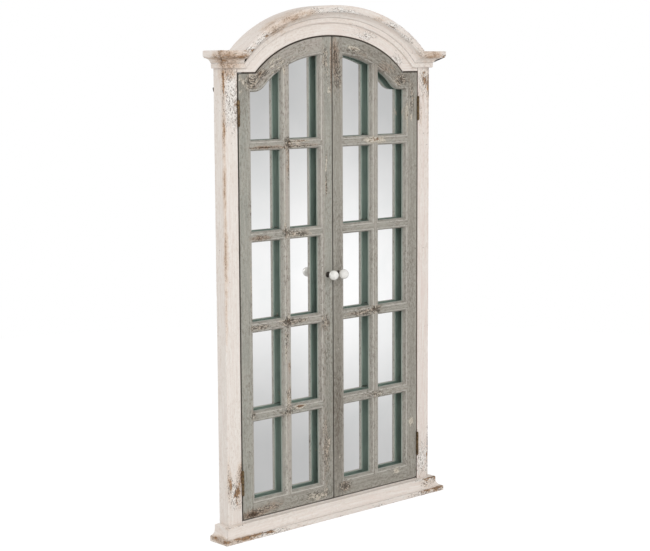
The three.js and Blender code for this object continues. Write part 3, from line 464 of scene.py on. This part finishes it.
    # Dark flecks 1 to 3 mm long, thick where the paint is worn. A few stray specks and nail holes elsewhere.
    worn_near = add(tree, "Math", [edge, 0.35, wear], **times_plus)
    flecked = add(tree, "MapRange", [stain, 0.0, 0.25, fleck_share * unstained, fleck_share])
    fleck = add(tree, "Math", [worn_near, flecked, marks], **times_plus)
    fleck = add(tree, "MapRange", [fleck, 0.74, 0.83, 0.0, 0.85])
    cells, chosen = (add(tree, "TexVoronoi", {"Vector": grain, "Scale": 1000 / 15}, out=out) for out in (0, "Color"))
    chosen = add(tree, "SeparateXYZ", [chosen], out="X")
    speck = add(tree, "MapRange", [chosen, 0.70, 1.0, 0.0, 0.10])
    speck = add(tree, "Math", [add(tree, "Math", [cells, speck], operation="LESS_THAN"), 0.75], **times)
    # Hollows and seams are darkened towards the grime colour: grime, with painted shade in the hollows and in the gaps
    # by the seams.
    hollow_grime_and_shade = add(tree, "MapRange", [hollow, 0.0, 2.0, grime_and_shade_share, 0.0], **smooth)
    hollow_grime_and_shade = add(tree, "Math", [hollow_grime_and_shade, add(tree, "MapRange", [flakes, 0.35, 0.6, 0.3, 1.0])], **times)
    gap = add(tree, "MapRange", [grimy_shaded_seam, 0.6, grimy_shaded_seam_reach, 0.93, 0.0], **smooth)
    dark = fleck
    for mark in (speck, hollow_grime_and_shade, gap, rim):
        dark = add(tree, "Math", [dark, mark], operation="MAXIMUM")
    colour = add(tree, "Mix", {0: dark, 6: colour, 7: linear(grime_and_shade_colour)}, **in_colour)

    back = add(tree, "MapRange", [depth, rear_start * 0.001, rear_full * 0.001, 0.0, 1.0])
    shown = add(tree, "Math", [to_primer, fleck], operation="MAXIMUM")
    back = add(tree, "Math", [back, add(tree, "Math", [shown, -wear_through, 1.0], **times_plus)], **times)
    rear_clouds = add(tree, "MapRange", [clouds, 0.45, 0.62, 0.0, 0.7])
    rear_edge = add(tree, "MapRange", [arris, 0.0, 2.0, 0.35 * wear_through, 0.0])
    for share, shade in ((rear_clouds, linear(rear_cloud)), (rear_edge, shades[-2])):
        rear = add(tree, "Mix", {0: share, 6: rear, 7: shade}, **in_colour)
    colour = add(tree, "Mix", {0: back, 6: colour, 7: rear}, **in_colour)

    relief = 1.0
    for part, lift in ((to_primer, -0.5), (to_pine, -0.5), (fleck, -0.4), (streaks, 0.25)):
        relief = add(tree, "Math", [part, lift, relief], **times_plus)
    bump = add(tree, "Bump", {"Height": relief, "Distance": 0.0004, "Strength": 0.7})
    matt = add(tree, "MapRange", [to_pine, 0.0, 1.0, roughness, 0.9])
    surface = {"Base Color": colour, "Roughness": matt, "Normal": bump, "Specular IOR Level": 0.3}
    add(tree, "OutputMaterial", [add(tree, "BsdfPrincipled", surface)])
    return material


# Chalk paint: a cream, pinker where it is thick and greyer where rubbed, over a white primer. Pine and
# old stain show ochre to brown, and the back of the frame was never painted.
cream_paint = wood_and_paint(
    "chipped_cream_chalk_paint",
    coats=("#E4DAD1", "#E0D3CA", "#DFCFC7", "#DAD3CC", "#E9E3DC", "#EEE8E2", "#CBBBAE"), primer=("#F1EDE8", "#E2DCD5"),
    pine=("#997758", "#795A3F"), stains=("#CEB297", "#9B7754"), grime_and_shade=(0.44, 1.8, "#5A493C"),
    behind=("#B4926B", "#9C7A54", 16.6, 17.2, "#8C6C4A", 0.0), mottle_and_highlight=(0.34, 0.42, 0.62, 0.0, 0.0),
    chip=(1.7, 0.6, 0.52, 0.95, 0.30, 1.0), arris_share=0.28, roughness=0.62,
)
cream = (cream_paint, "frame", "cream_paint")  # finish, body and slot of the fixed wood

for side, way in sides:
    stile_width = frame_half - opening_half
    stile_section = outline([
        (0, 0, stile_arris), (stile_width, 0, stile_arris), (stile_width, frame_depth, 1.0),
        (rebate_wide, frame_depth, 0.6), (rebate_wide, rebate_deep, 0), (0, rebate_deep, 0.8),
    ])
    plan_across, plan_depth = stile_section["points"].T
    # The stile's inner edge is darkened by the gap to the door: grime and painted shade.
    stile_section["grimy_shaded_seam"] = gap_shade(plan_across, plan_depth, gap_shade_reach)
    up_stile = stations(0, frame_top, extra=rebate_foot + rebate_head)
    shaped = worn(stile_section, up_stile, seed=11 + way, nick=1.3)
    # The rebate stops short of both ends: its wall goes back to the inner edge there, and its floor to the back.
    closed = ((up_stile < rebate_foot[1]) | (up_stile > rebate_head[0]))[:, None]
    across, depth = shaped[:, :, 0], shaped[:, :, 1]
    in_rebate = closed & (depth > rebate_deep - 1.2) & (across < rebate_wide + 0.8)
    across = np.where(in_rebate & (plan_across > 0.9), 0.4, across)
    filled = closed & (plan_depth > rebate_deep - 1.2) & (plan_across < rebate_wide + 0.9)
    depth = np.where(filled, frame_depth - 0.1, depth)
    stile = skin(
        "painted_frame_stile_" + side, way * (opening_half + across), depth, up_stile[:, None],
        up_stile, stile_section, cream_wear, tone=0.3 * way, hue=0.5 * way + 0.2,
    )
    finish(stile, *cream, "frame_stile_" + side)


# ---- Bottom rail of the frame --------------------------------------------------------------------
# A pine rail tenoned between the stiles. The base moulding hides all but its top strip, on which
# the doors close, and its back has the same rebate for the glass.
rail_end = opening_half - 0.3
rail_section = outline([
    (0, 0, 1.0), (frame_depth, 0, 0.6), (frame_depth, rail_top - rebate_wide, 0.6),
    (rebate_deep, rail_top - rebate_wide, 0), (rebate_deep, rail_top, 0.6), (0, rail_top, 1.2),
])
along_rail = stations(-rail_end, rail_end)
shaped = worn(rail_section, along_rail, seed=21)
bottom_rail = skin(
    "painted_bottom_rail", along_rail[:, None], shaped[:, :, 0], shaped[:, :, 1],
    along_rail, rail_section, cream_wear, tone=0.7,
)
finish(bottom_rail, *cream, "frame_bottom_rail")


# ---- Head board ----------------------------------------------------------------------------------
# A wide pine board tenoned between the stiles and sawn to the arch below and above. Its face
# between the doors and the crown is the smooth cream fascia.
arch_half, arch_rise, arch_middle, arch_shoulder = 289.96, 190, 1017, 245.6
fascia, cornice_height, door_gap = 32, 42, 1.5
halvings = 40
board_top = 10  # its section runs 0 at the arch, 1 at the rebate and 10 at the top, and is then stretched


def arch(angle, offset):
    """The doors' elliptic arch moved outwards: (half cos, middle + rise sin) plus the offset along the unit normal."""
    normal_x, normal_z = np.cos(angle) / arch_half, np.sin(angle) / arch_rise
    size = np.hypot(normal_x, normal_z)
    x = arch_half * np.cos(angle) + offset * normal_x / size
    return x, arch_middle + arch_rise * np.sin(angle) + offset * normal_z / size


def arch_angle(value, offset, upright):
    """Where the moved arch reaches a height (upright) or a distance from the middle, by halving the quarter turn."""
    shape = np.broadcast(value, offset).shape
    low, high = np.zeros(shape), np.full(shape, np.pi / 2)
    for _ in range(halvings):
        middle = (low + high) / 2
        x, z = arch(middle, offset)
        below = z < value if upright else x > value
        low, high = np.where(below, middle, low), np.where(below, high, middle)
    return (low + high) / 2


def line_height(x, offset):
    """Height of the doors' outline moved by an offset: the arch, then a flat shoulder at each side. Moved inwards, the
    corner between them turns on a round of that radius."""
    x, offset = np.broadcast_arrays(np.abs(x), np.asarray(offset, float))
    over = arch(arch_angle(x, offset, False), offset)[1]
    flat = shoulder + offset
    meet_angle = arch_angle(np.float64(shoulder), np.float64(0), True)
    leave = arch_shoulder + offset * (arch(meet_angle, 1)[0] - arch(meet_angle, 0)[0])
    round_turn = shoulder - np.sqrt(np.clip(offset**2 - (arch_shoulder - x) ** 2, 0, None))
    inside = np.where(x < leave, over, np.where(x < arch_shoulder, round_turn, flat))
    return np.where(offset >= 0, np.maximum(over, flat), inside)


head_section = outline([
    (0, 0, 1.2), (board_top, 0, 0), (board_top, frame_depth, 0.8),
    (1, frame_depth, 0.6), (1, rebate_deep, 0), (0, rebate_deep, 0.8),
], spacing=0.9)
plan_rise, plan_depth = head_section["points"].T
reach_up = np.where(plan_rise < 1, plan_rise * rebate_wide, 99.0)
head_section["arris"] = np.where(plan_depth < 1.5, reach_up + 0.2, head_section["arris"])
# The edge under the arch is darkened by the gap above the doors: grime and painted shade.
head_section["grimy_shaded_seam"] = gap_shade(reach_up, plan_depth, gap_shade_reach)
under_arch = np.arange(-252, 252, 4.0)  # closer places where the board is sawn to the arch
along_head = stations(-rail_end, rail_end, extra=under_arch)
foot = line_height(along_head, door_gap)
step_up = line_height(along_head, door_gap + rebate_wide)
crown_line = fascia + cornice_height
top = arch(arch_angle(np.abs(along_head), np.float64(crown_line), False), crown_line)[1]
top = np.maximum(frame_top, top)
across = np.clip(plan_rise, 0, board_top)[None]
in_step = foot[:, None] + (step_up - foot)[:, None] * across
above = step_up[:, None] + (top - step_up)[:, None] * (across - 1) / (board_top - 1)
head_z = np.where(across < 1, in_step, above)
head_board = skin(
    "painted_head_board", along_head[:, None], plan_depth, head_z,
    along_head, head_section, cream_wear, tone=0.5,
)
finish(head_board, *cream, "head_board")


# ---- Crown and cornice ears ----------------------------------------------------------------------
# One moulding, cut round the arch as the crown and mitred into short straight ears that return
# along the sides: a flat band, a quirk, a cove and a square nosing. Glued and pinned, then painted.
cornice_foot, mitre_gap, ground = 1129, 0.25, 0.02
crown_run, ear_run = 690, 66
crown_section = outline([
    (0.3, 0, 0), (7, 0, 3.0), (7, 13, 1.6), (8.8, 13.6, 1.0), (10.2, 16.4, 1.2), (12.6, 19.3, 1.2), (16, 21.6, 1.4),
    (20.4, 23.2, 1.6), (25.4, 24, 1.6), (31, 26.2, 5.2), (31, cornice_height, 2.2),
    (0.3, cornice_height, 0),
])


def side_return(kind, side, way, section, foot, run, tone, **hand_wear):
    """A moulding's short return along the side, from its mitre back to the wall. Each point of the section starts as
    far forward as it reaches out, and runs straight to the frame's back. None of it is below the ground."""
    along = stations(0, run, step=4)
    shaped = worn(section, along, **hand_wear)
    reach, height = shaped[:, :, 0], np.maximum(foot + shaped[:, :, 1], ground)
    depth = mitre_gap - reach + (frame_depth - mitre_gap + reach) * (along / run)[:, None]
    name = f"painted_{kind}_return_{side}"
    wing = skin(name, way * (frame_half + reach), depth, height, along, section, cream_wear, tone=tone)
    finish(wing, *cream, f"{kind}_return_{side}")


section_rise = crown_section["points"][:, 1]
meet = arch_angle(cornice_foot + section_rise, fascia + section_rise, True)
along_crown = stations(0, crown_run, step=4.6)
shaped = worn(crown_section, along_crown, seed=31, ends=(0, 0), nick=1.8)
reach, rise = shaped[:, :, 0], shaped[:, :, 1]
angle = meet[None] + (np.pi - 2 * meet[None]) * (1 - along_crown / crown_run)[:, None]
x, z = arch(angle, fascia + rise)
crown = skin("painted_crown_moulding", x, -reach, z, along_crown, crown_section, cream_wear, tone=-0.2)
finish(crown, *cream, "crown_moulding")

for side, way in sides:
    start = arch(meet, fascia + section_rise)[0] + 2 * mitre_gap
    along_ear = stations(0, ear_run, step=4)
    shaped = worn(crown_section, along_ear, seed=41 + way, ends=(0, 0), nick=2.2)
    reach, rise = shaped[:, :, 0], shaped[:, :, 1]
    x = start[None] + (frame_half + reach - mitre_gap - start[None]) * (along_ear / ear_run)[:, None]
    name = "painted_cornice_ear_" + side
    ear = skin(name, way * x, -reach, cornice_foot + rise, along_ear, crown_section, cream_wear, tone=0.1)
    finish(ear, *cream, "cornice_front_" + side)
    side_return(
        "cornice", side, way, crown_section, cornice_foot, ear_run, -0.4, seed=51 + way, ends=(0, 0.6), nick=2.0,
    )


# ---- Base moulding -------------------------------------------------------------------------------
# A heavier moulding round the foot of the frame: a fillet to stand on, a quirk, a long cove and a
# narrow ledge. Mitred at both corners, and the part that has been knocked most.
base_run, wing_run = 700, 65
base_section = outline([
    (0.3, 0, 0), (30, 0, 2.0), (30, 13.2, 2.0), (27.2, 13.8, 0.8), (23, 15.2, 1.4), (19.8, 17.4, 1.4),
    (17.4, 20.4, 1.4), (15.8, 24.2, 1.2), (15, 28, 1.0), (15, 39, 2.2), (0.3, 39, 0),
])
lip_line = np.hypot(*(base_section["points"] - (28.6, 13.6)).T)  # grime and painted shade lie along the top of the fillet
base_section["hollow"] = np.minimum(base_section["hollow"], 0.8 * lip_line)
along_base = stations(0, base_run, step=4.5)
shaped = worn(base_section, along_base, seed=61, ends=(0, 0), nick=2.6)
reach, rise = shaped[:, :, 0], np.maximum(shaped[:, :, 1], ground)
x = (frame_half + reach - mitre_gap) * (along_base / (base_run / 2) - 1)[:, None]
base = skin("painted_base_moulding", x, -reach, rise, along_base, base_section, cream_wear, tone=0.2)
finish(base, *cream, "base_moulding_front")
for side, way in sides:
    side_return("base", side, way, base_section, 0, wing_run, -0.3, seed=71 + way, ends=(0, 0.8), nick=2.8)


# ---- Mirror and back panel -----------------------------------------------------------------------
# One sheet of silvered float glass, cut to the arch and laid in the rebate, with a thin hardboard
# panel behind it.
def refinish(material, *nodes):
    """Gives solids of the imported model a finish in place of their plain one."""
    for node in nodes:
        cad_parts[node].data.materials.clear()
        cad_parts[node].data.materials.append(material)


# Silvered float glass: a clean, bright mirror with the faintest haze in it.
silvering, tree = blank("silvered_float_glass")
haze = add(tree, "TexNoise", {"Vector": add(tree, "TexCoord", out="Object"), "Scale": 1000 / 90, "Detail": 3.0})
haze = add(tree, "MapRange", [haze, 0.35, 0.7, 0.004, 0.02])
tint = add(tree, "MapRange", [haze, 0.004, 0.02, 0.0, 1.0])
silver = add(tree, "Mix", {0: tint, 6: linear("#FAFAFA"), 7: linear("#F5F6F6")}, **in_colour)
surface = add(tree, "BsdfPrincipled", {"Base Color": silver, "Metallic": 1.0, "Roughness": haze})
add(tree, "OutputMaterial", [surface])
refinish(silvering, "mirror_glass")

# Pressed hardboard: fine brown fibres, a little uneven from wet pressing, and quite matt.
hardboard, tree = blank("brown_hardboard")
place = add(tree, "TexCoord", out="Object")
fibres = add(tree, "TexNoise", {"Vector": place, "Scale": 1000 / 2.5, "Detail": 5.0, "Roughness": 0.7})
clouds = add(tree, "TexNoise", {"Vector": place, "Scale": 1000 / 120, "Detail": 3.0})
brown = add(tree, "Mix", {0: fibres, 6: linear("#6E5238"), 7: linear("#94734F")}, **in_colour)
clouds = add(tree, "MapRange", [clouds, 0.35, 0.7, 0.0, 0.22])
brown = add(tree, "Mix", {0: clouds, 6: brown, 7: linear("#59412C")}, **in_colour)
bump = add(tree, "Bump", {"Height": fibres, "Distance": 0.0003, "Strength": 0.5})
surface = add(tree, "BsdfPrincipled", {"Base Color": brown, "Roughness": 0.85, "Normal": bump})
add(tree, "OutputMaterial", [surface])
refinish(hardboard, "back_panel", "door_stop")


# ---- Doors ---------------------------------------------------------------------------------------
# Each door is a frame of two stiles and two rails, tenoned, with one upright and four level glazing
# bars halved into a lattice. Pane edges have a small round moulding with a quirk. The sage paint has
# faded and rubbed on the front and is still dark green inside.
door_thick, door_foot, rail_shade_depth = 17, 43, 12
moulding = [(0, 6.3, 0), (0.9, 4.0, 0), (2.6, 2.2, 0), (4.6, 1.35, 0), (6.3, 1.05, 0)]  # across and back from a pane
meeting_width, hinge_width, bar_width, top_rail_width, foot_rail_width = 39, 41, 25, 44, 43.6
pane_floor, bar_step, first_bar, bar_count = 86.6, 218.3, 279.9, 4
meeting_pane, hinge_pane = 40, 259
middle_bar = (meeting_pane + hinge_pane - bar_width) / 2
inner = 7  # the flat starts here, past the moulding
halving_gap, notch_edge, tight_gap_less_shade = 0.15, 0.1, 0.9  # the gap between the doors is tight and carries a narrower band of painted shade

sage_paint = wood_and_paint(
    "rubbed_sage_chalk_paint",
    coats=("#9B978E", "#8F8A80", "#B6ABA3", "#93968E", "#A8A59B", "#C6C2B9", "#665D52"), primer=("#D2CBBE", "#B3A999"),
    pine=("#8C705A", "#69523F"), stains=("#AD937E", "#7B604B"), grime_and_shade=(0.50, 2.4, "#3B342C"),
    behind=("#97A79C", "#87998E", -7.5, -0.8, "#7E8E85", 1.0), mottle_and_highlight=(0.26, 0.50, 1.0, 0.42, 0.8),
    chip=(1.8, 0.7, 0.50, 0.90, 0.50, 0.35), arris_share=0.30, roughness=0.66,
)
# Where the sage paint is worn, as for the cream, but through the whole door: place (across, height), reach
# each way in mm, flaked, stained.
sage_wear = np.array([
    # left door: brown flecks at the shoulder and along the arched rail, a white streak at the meeting stile's head
    (-256, 1096, 28, 22, 0.66, 0.35), (-180, 1140, 60, 26, 0.42, 0.14), (-90, 1176, 50, 20, 0.36, 0.12),
    (-226, 1116, 24, 12, 0.5, 0.45), (-12, 1090, 4, 60, 0.81, 0.0), (-24, 1150, 12, 50, 0.55, 0.3),
    (-3, 1130, 3, 70, 0.4, 0.9), (-262, 796, 4, 14, 0.98, 0.0), (-264, 560, 5, 120, 0.49, 0.05),
    (-290, 1000, 12, 90, 0.16, 0.1),
    # left door: the crossings of the bars, the grime in the foot corner and the cream patch on the bottom rail
    (-146, 952, 14, 16, 0.75, 0.35), (-210, 942, 60, 4, 0.5, 0.9), (-90, 944, 50, 5, 0.5, 0.5),
    (-100, 954, 30, 5, 0.7, 0.0), (-152, 732, 24, 12, 0.62, 0.3), (-156, 746, 8, 10, 0.45, 0.0),
    (-22, 900, 3, 30, 0.95, 0.0), (-22, 842, 3.5, 40, 0.85, 0.5), (-146, 900, 5, 42, 0.4, 0.6),
    (-235, 726, 34, 6, 0.6, 0.9), (-104, 728, 34, 8, 0.85, 0.3), (-152, 512, 26, 12, 0.62, 0.25),
    (-110, 512, 40, 9, 0.5, 0.3), (-146, 400, 5, 16, 0.4, 0.7), (-148, 330, 9, 30, 0.5, 0.4),
    (-150, 526, 10, 12, 0.5, 0.0), (-236, 510, 36, 8, 0.75, 0.4), (-28, 500, 16, 24, 0.57, 0.3),
    (-153, 470, 8, 50, 0.57, 0.15), (-152, 290, 26, 14, 0.6, 0.3), (-110, 298, 22, 7, 0.95, 0.0),
    (-262, 296, 12, 14, 0.6, 0.35), (-268, 52, 44, 12, 0.75, 1.4), (-205, 62, 36, 12, 0.4, 0.5),
    (-55, 60, 40, 14, 0.74, 0.14), (-24, 170, 16, 110, 0.5, 0.36), (-20, 420, 14, 120, 0.22, 0.15),
    (-150, 800, 8, 300, 0.14, 0.12),
    # right door: red brown down the meeting edge, a cream patch on the rail, flecks at the shoulder and the foot
    (9, 1160, 9, 45, 0.6, 0.9), (20, 1110, 14, 60, 0.6, 0.35), (72, 1176, 26, 9, 0.98, 0.0),
    (100, 1160, 50, 20, 0.3, 0.25), (240, 1098, 28, 16, 0.85, 0.4), (190, 1128, 40, 20, 0.4, 0.4),
    (280, 1050, 14, 60, 0.55, 0.3), (262, 1010, 6, 30, 0.47, 0.0), (150, 949, 44, 8, 0.85, 0.0),
    (124, 948, 16, 7, 0.9, 0.0), (150, 514, 26, 12, 0.7, 0.35), (90, 510, 50, 10, 0.6, 0.45),
    (150, 290, 40, 12, 0.7, 0.2), (280, 200, 8, 14, 0.95, 0.0), (225, 74, 16, 9, 0.95, 0.0),
    (40, 66, 26, 16, 0.7, 0.5), (16, 250, 18, 200, 0.4, -0.75), (278, 120, 16, 60, 0.22, 0.15),
    (20, 600, 14, 200, 0.11, -0.35), (20, 1050, 16, 160, 0.0, -0.18), (150, 1150, 110, 50, 0.0, -0.34),
    (250, 1110, 40, 30, 0.0, -0.3), (280, 500, 16, 500, 0.0, -0.22), (150, 60, 160, 14, 0.14, -0.15),
    (-20, 250, 16, 200, 0.0, -0.3), (-290, 1080, 30, 40, 0.27, -0.3), (-150, 60, 150, 14, 0.14, -0.1),
    (-200, 1150, 90, 40, 0.2, -0.12),
])
sage_wear = np.insert(sage_wear, (1, 3), (0, 30), axis=1)


def member(width, both, deep=gap_shade_reach):
    """The outline of a door member: its pane edge's moulding, the flat face with a slight round, and the back. A
    member at the door's edge is darkened by the gap, grime with painted shade, as far as `deep` mm into it."""
    near = [(inner, 0.0, 0.0)] + moulding[::-1]
    far = [(width - a, d, r) for a, d, r in moulding] + [(width - inner, 0.0, 0.0)] if both else [(width, 0, 1.0)]
    section = outline(far + near + [(0, door_thick, 0.9), (width, door_thick, 0.9)])
    if not both:
        section["grimy_shaded_seam"] = gap_shade(width - section["points"][:, 0], section["points"][:, 1], deep)
    return section


# Each stile's width, pane edge, the way its moulding faces, its seed, and its hue on the moulding and on the
# flat, for the right door and the left.
door_stiles = (
    ("hinge", hinge_width, hinge_pane, 1, 3, {1: (0.25, 0.0), -1: (-0.1, -0.6)}),
    ("meeting", meeting_width, meeting_pane, -1, 5, {1: (0.35, -0.1), -1: (0.75, -0.55)}),
)
for side, way in sides:
    door = "door_" + side
    sage = (sage_paint, door, "sage_paint")

    # Hinge stile and meeting stile, whose heads follow the door's outline.
    for kind, width, edge, lean, seed, hue in door_stiles:
        section = member(width, False)
        across_hue = np.interp(section["points"][:, 0], (9, 15), hue[way])
        # The tight gap between the doors gets a narrower band of painted shade.
        section["grimy_shaded_seam"] = section["grimy_shaded_seam"] + tight_gap_less_shade * (kind == "meeting")
        along = stations(door_foot, shoulder)
        shaped = worn(section, along, seed=100 + seed * 3 + way, nick=0.9)
        x = edge + lean * shaped[:, :, 0]
        head = line_height(x, 0)
        z = door_foot + (head - door_foot) * ((along - door_foot) / (shoulder - door_foot))[:, None]
        piece = skin(
            f"painted_{kind}_stile_{side}", way * x, shaped[:, :, 1], z,
            along, section, sage_wear, tone=0.37 * seed + way, hue=across_hue, butted=True,
        )
        finish(piece, *sage, f"door_{kind}_stile_{side}")

    # Rails: across runs up from the pane edge, which for the top rail is the arch moved inwards.
    # The top rail's painted shade reaches deeper into the gap under the arch.
    section = member(top_rail_width, False, deep=rail_shade_depth)
    along = stations(meeting_pane - inner, hinge_pane + inner, step=4)
    shaped = worn(section, along, seed=120 + way, ends=(0.4, 0.4))
    z = line_height(along[:, None], shaped[:, :, 0] - top_rail_width)
    piece = skin(
        "painted_top_rail_" + side, way * along[:, None], shaped[:, :, 1], z,
        along, section, sage_wear, tone=0.9 + way, hue=0.3 - 0.35 * way,
    )
    finish(piece, *sage, "door_top_rail_" + side)

    section = member(foot_rail_width, False)
    shaped = worn(section, along, seed=130 + way, ends=(0.4, 0.4))
    piece = skin(
        "painted_bottom_rail_" + side, way * along[:, None], shaped[:, :, 1], pane_floor - shaped[:, :, 0],
        along, section, sage_wear, tone=1.3 + way,
    )
    finish(piece, *sage, "door_bottom_rail_" + side)

    # Glazing bars: the upright runs through in front, the level bars behind it.
    section = member(bar_width, True)
    across_hue = np.interp(section["points"][:, 0], (5, 12, 16, 20), (0.2, 0.9, 0.9, 0.0)) * (1 if way < 0 else 0.6)
    bars = first_bar + bar_step * np.arange(bar_count)
    notch = np.concatenate([line + edge for line in (bars, bars + bar_width) for edge in (-notch_edge, notch_edge)])
    along = stations(pane_floor - inner, shoulder, extra=notch)
    shaped = worn(section, along, seed=140 + way, ends=(0, 0))
    x = middle_bar + shaped[:, :, 0]
    head = line_height(x, inner - top_rail_width)
    share = ((along - pane_floor + inner) / (shoulder - pane_floor + inner))[:, None]
    z = pane_floor - inner + (head - pane_floor + inner) * share
    halved = ((z[:, :, None] > bars) & (z[:, :, None] < bars + bar_width)).any(2)
    depth = np.where(halved, np.minimum(shaped[:, :, 1], door_thick / 2 - halving_gap), shaped[:, :, 1])
    # The left door's upright bar has less grime and painted shade in its hollows.
    less_grime_and_shade = dict(section, hollow=section["hollow"] + (0.6 if way < 0 else 0.0))
    piece = skin(
        "painted_upright_bar_" + side, way * x, depth, z,
        along, less_grime_and_shade, sage_wear, tone=1.7 + way, hue=across_hue,
    )
    finish(piece, *sage, "door_muntin_" + side)

    # The level bars are darker along their under sides: painted shade where they face down, with some grime, given as
    # nearer hollows.
    low = np.where(section["points"][:, 1] < door_thick - 1, 0.7 * section["points"][:, 0] + 0.4, 99.0)
    section["hollow"] = np.minimum(section["hollow"], low)
    gap = (middle_bar + inner, middle_bar + bar_width - inner)
    notch = [line + edge for line in gap for edge in (-notch_edge, notch_edge)]
    for row, foot in enumerate(bars):
        along = stations(meeting_pane - inner, hinge_pane + inner, step=4, extra=notch)
        shaped = worn(section, along, seed=150 + 4 * row + way, ends=(0.4, 0.4))
        halved = ((along > gap[0]) & (along < gap[1]))[:, None]
        depth = np.where(halved, np.maximum(shaped[:, :, 1], door_thick / 2 + halving_gap), shaped[:, :, 1])
        piece = skin(
            f"painted_level_bar_{row + 1}_{side}", way * along[:, None], depth, foot + shaped[:, :, 0],
            along, section, sage_wear, tone=2.1 + 0.43 * row + way, hue=0.35 * math.sin(2.6 * row + way),
        )
        finish(piece, *sage, f"door_cross_bar_{row + 1}_{side}")


# ---- Hinges --------------------------------------------------------------------------------------
# Four brass butt hinges, let into the edges of door and stile, with loose pins. Handling and old
# paint have left them dull brown: dark tarnish in patches, and finely scuffed.
dull_brass, tree = blank("dull_brass")
place = add(tree, "TexCoord", out="Object")
tarnish = add(tree, "TexNoise", {"Vector": place, "Scale": 1000 / 6, "Detail": 5.0, "Roughness": 0.65})
scuff = add(tree, "TexNoise", {"Vector": place, "Scale": 1000 / 1.5, "Detail": 3.0})
patches = add(tree, "MapRange", [tarnish, 0.35, 0.62, 0.0, 1.0])
brass = add(tree, "Mix", {0: patches, 6: linear("#85704F"), 7: linear("#4B3B2A")}, **in_colour)
rough = add(tree, "MapRange", [tarnish, 0.3, 0.7, 0.35, 0.7])
bump = add(tree, "Bump", {"Height": scuff, "Distance": 0.0002, "Strength": 0.4})
surface = add(tree, "BsdfPrincipled", {"Base Color": brass, "Metallic": 0.55, "Roughness": rough, "Normal": bump})
add(tree, "OutputMaterial", [surface])
refinish(dull_brass, *(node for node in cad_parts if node.startswith("hinge_")))


# ---- Knobs ---------------------------------------------------------------------------------------
# A white glazed ceramic ball on a blackened iron rose, held by a screw from behind.
knob_radius, knob_out, knob_x, knob_z, seat_radius, hole_angle = 12.25, 22, 17, 618.5, 4.5, 0.02
turn_steps, ball_steps, ball_crease, rose_crease = 64, 40, math.radians(50), math.radians(35)


def lathe(name, radius, forward, centre, sharp):
    """A turned surface: the profile's radius at each distance forward of the door's face, carried round the axis."""
    turn = np.linspace(0, 2 * np.pi, turn_steps + 1)[:-1]
    x = centre[0] + radius[None] * np.cos(turn)[:, None]
    z = centre[1] + radius[None] * np.sin(turn)[:, None]
    depth = np.broadcast_to(-forward[None], x.shape)
    points = (np.stack([x, depth - frame_depth / 2, z], -1) * 0.001).reshape(-1, 3)
    ring, count = len(radius), len(turn)
    k, i = np.arange(count)[:, None], np.arange(ring - 1)[None]
    this, after = k * ring + i, (k + 1) % count * ring + i
    quads = np.stack([this, this + 1, after + 1, after], -1).reshape(-1, 4)
    ends = [(np.arange(count) * ring)[::-1].tolist(), (np.arange(count) * ring + ring - 1).tolist()]
    made = bpy.data.meshes.new(name)
    made.from_pydata(points.tolist(), [], quads[:, ::-1].tolist() + [end[::-1] for end in ends])
    made.shade_smooth()
    made.set_sharp_from_angle(angle=sharp)
    piece = bpy.data.objects.new(name, made)
    bpy.context.collection.objects.link(piece)
    return piece


def dappled(name, size, fine, noise_rough, limits, colours, bump, surface):
    """A plain hard finish in two shades: noise of one size in mm, stretched between two limits, mixes the colours, and
    the same noise is the bump, of the distance and strength given."""
    material, tree = blank(name)
    place = add(tree, "TexCoord", out="Object")
    noise = add(tree, "TexNoise", {"Vector": place, "Scale": 1000 / size, "Detail": fine, "Roughness": noise_rough})
    share = add(tree, "MapRange", [noise, *limits, 0.0, 1.0])
    colour = add(tree, "Mix", {0: share, 6: linear(colours[0]), 7: linear(colours[1])}, **in_colour)
    lifted = add(tree, "Bump", {"Height": noise, "Distance": bump[0], "Strength": bump[1]})
    add(tree, "OutputMaterial", [add(tree, "BsdfPrincipled", {"Base Color": colour, "Normal": lifted, **surface})])
    return material


# Glazed ceramic: warm white, slightly greyer where the glaze has pooled, wet-looking under a clear coat.
glaze = dappled(
    "white_glazed_ceramic", 9, 3.0, 0.5, (0.4, 0.65), ("#EFEDE8", "#DEDCD8"), (0.0003, 0.3),
    {"Roughness": 0.12, "Coat Weight": 0.4, "Coat Roughness": 0.05},
)
# Blackened iron: near black forge scale with brown in it, half dull.
iron = dappled(
    "blackened_iron", 2.5, 5.0, 0.7, (0.4, 0.7), ("#1F1D1B", "#4A4038"), (0.0002, 0.5),
    {"Metallic": 0.7, "Roughness": 0.5},
)

seat = math.asin(seat_radius / knob_radius)
polar = np.linspace(seat, np.pi - hole_angle, ball_steps)
rose_radius = np.array([2.6, 7.0, 7.5, 7.5, 7.1, 5.6, 4.2, 3.5, 3.3, 3.5, 4.1, 4.3, 2.6])
rose_out = np.array([0.3, 0.3, 0.6, 1.2, 1.8, 2.7, 3.9, 5.4, 7.0, 8.6, 9.6, 10.3, 10.3])
for side, way in sides:
    centre = (way * knob_x, knob_z)
    ball_radius, ball_out = knob_radius * np.sin(polar), knob_out - knob_radius * np.cos(polar)
    ball = lathe("ceramic_knob_" + side, ball_radius, ball_out, centre, ball_crease)
    finish(ball, glaze, "door_" + side, "white_ceramic", "knob_ball_" + side)
    rose = lathe("iron_knob_rose_" + side, rose_radius, rose_out, centre, rose_crease)
    finish(rose, iron, "door_" + side, "dark_steel", "knob_rose_" + side)


# ---- Hangers, catch and strikes ------------------------------------------------------------------
# Two steel D-rings in straps screwed to the backs of the stiles carry the mirror. A brown plastic
# magnetic catch behind the head holds steel strikes on the doors.
refinish(iron, *(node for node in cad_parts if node.startswith(("hanger_", "strike_", "knob_screw"))))
# Moulded brown plastic: an even, fine spark-eroded grain, half glossy.
plastic = dappled(
    "moulded_brown_plastic", 0.8, 2.0, 0.5, (0.0, 1.0), ("#5C3F28", "#6E4C31"), (0.0001, 0.3), {"Roughness": 0.45},
)
refinish(plastic, "magnetic_catch")
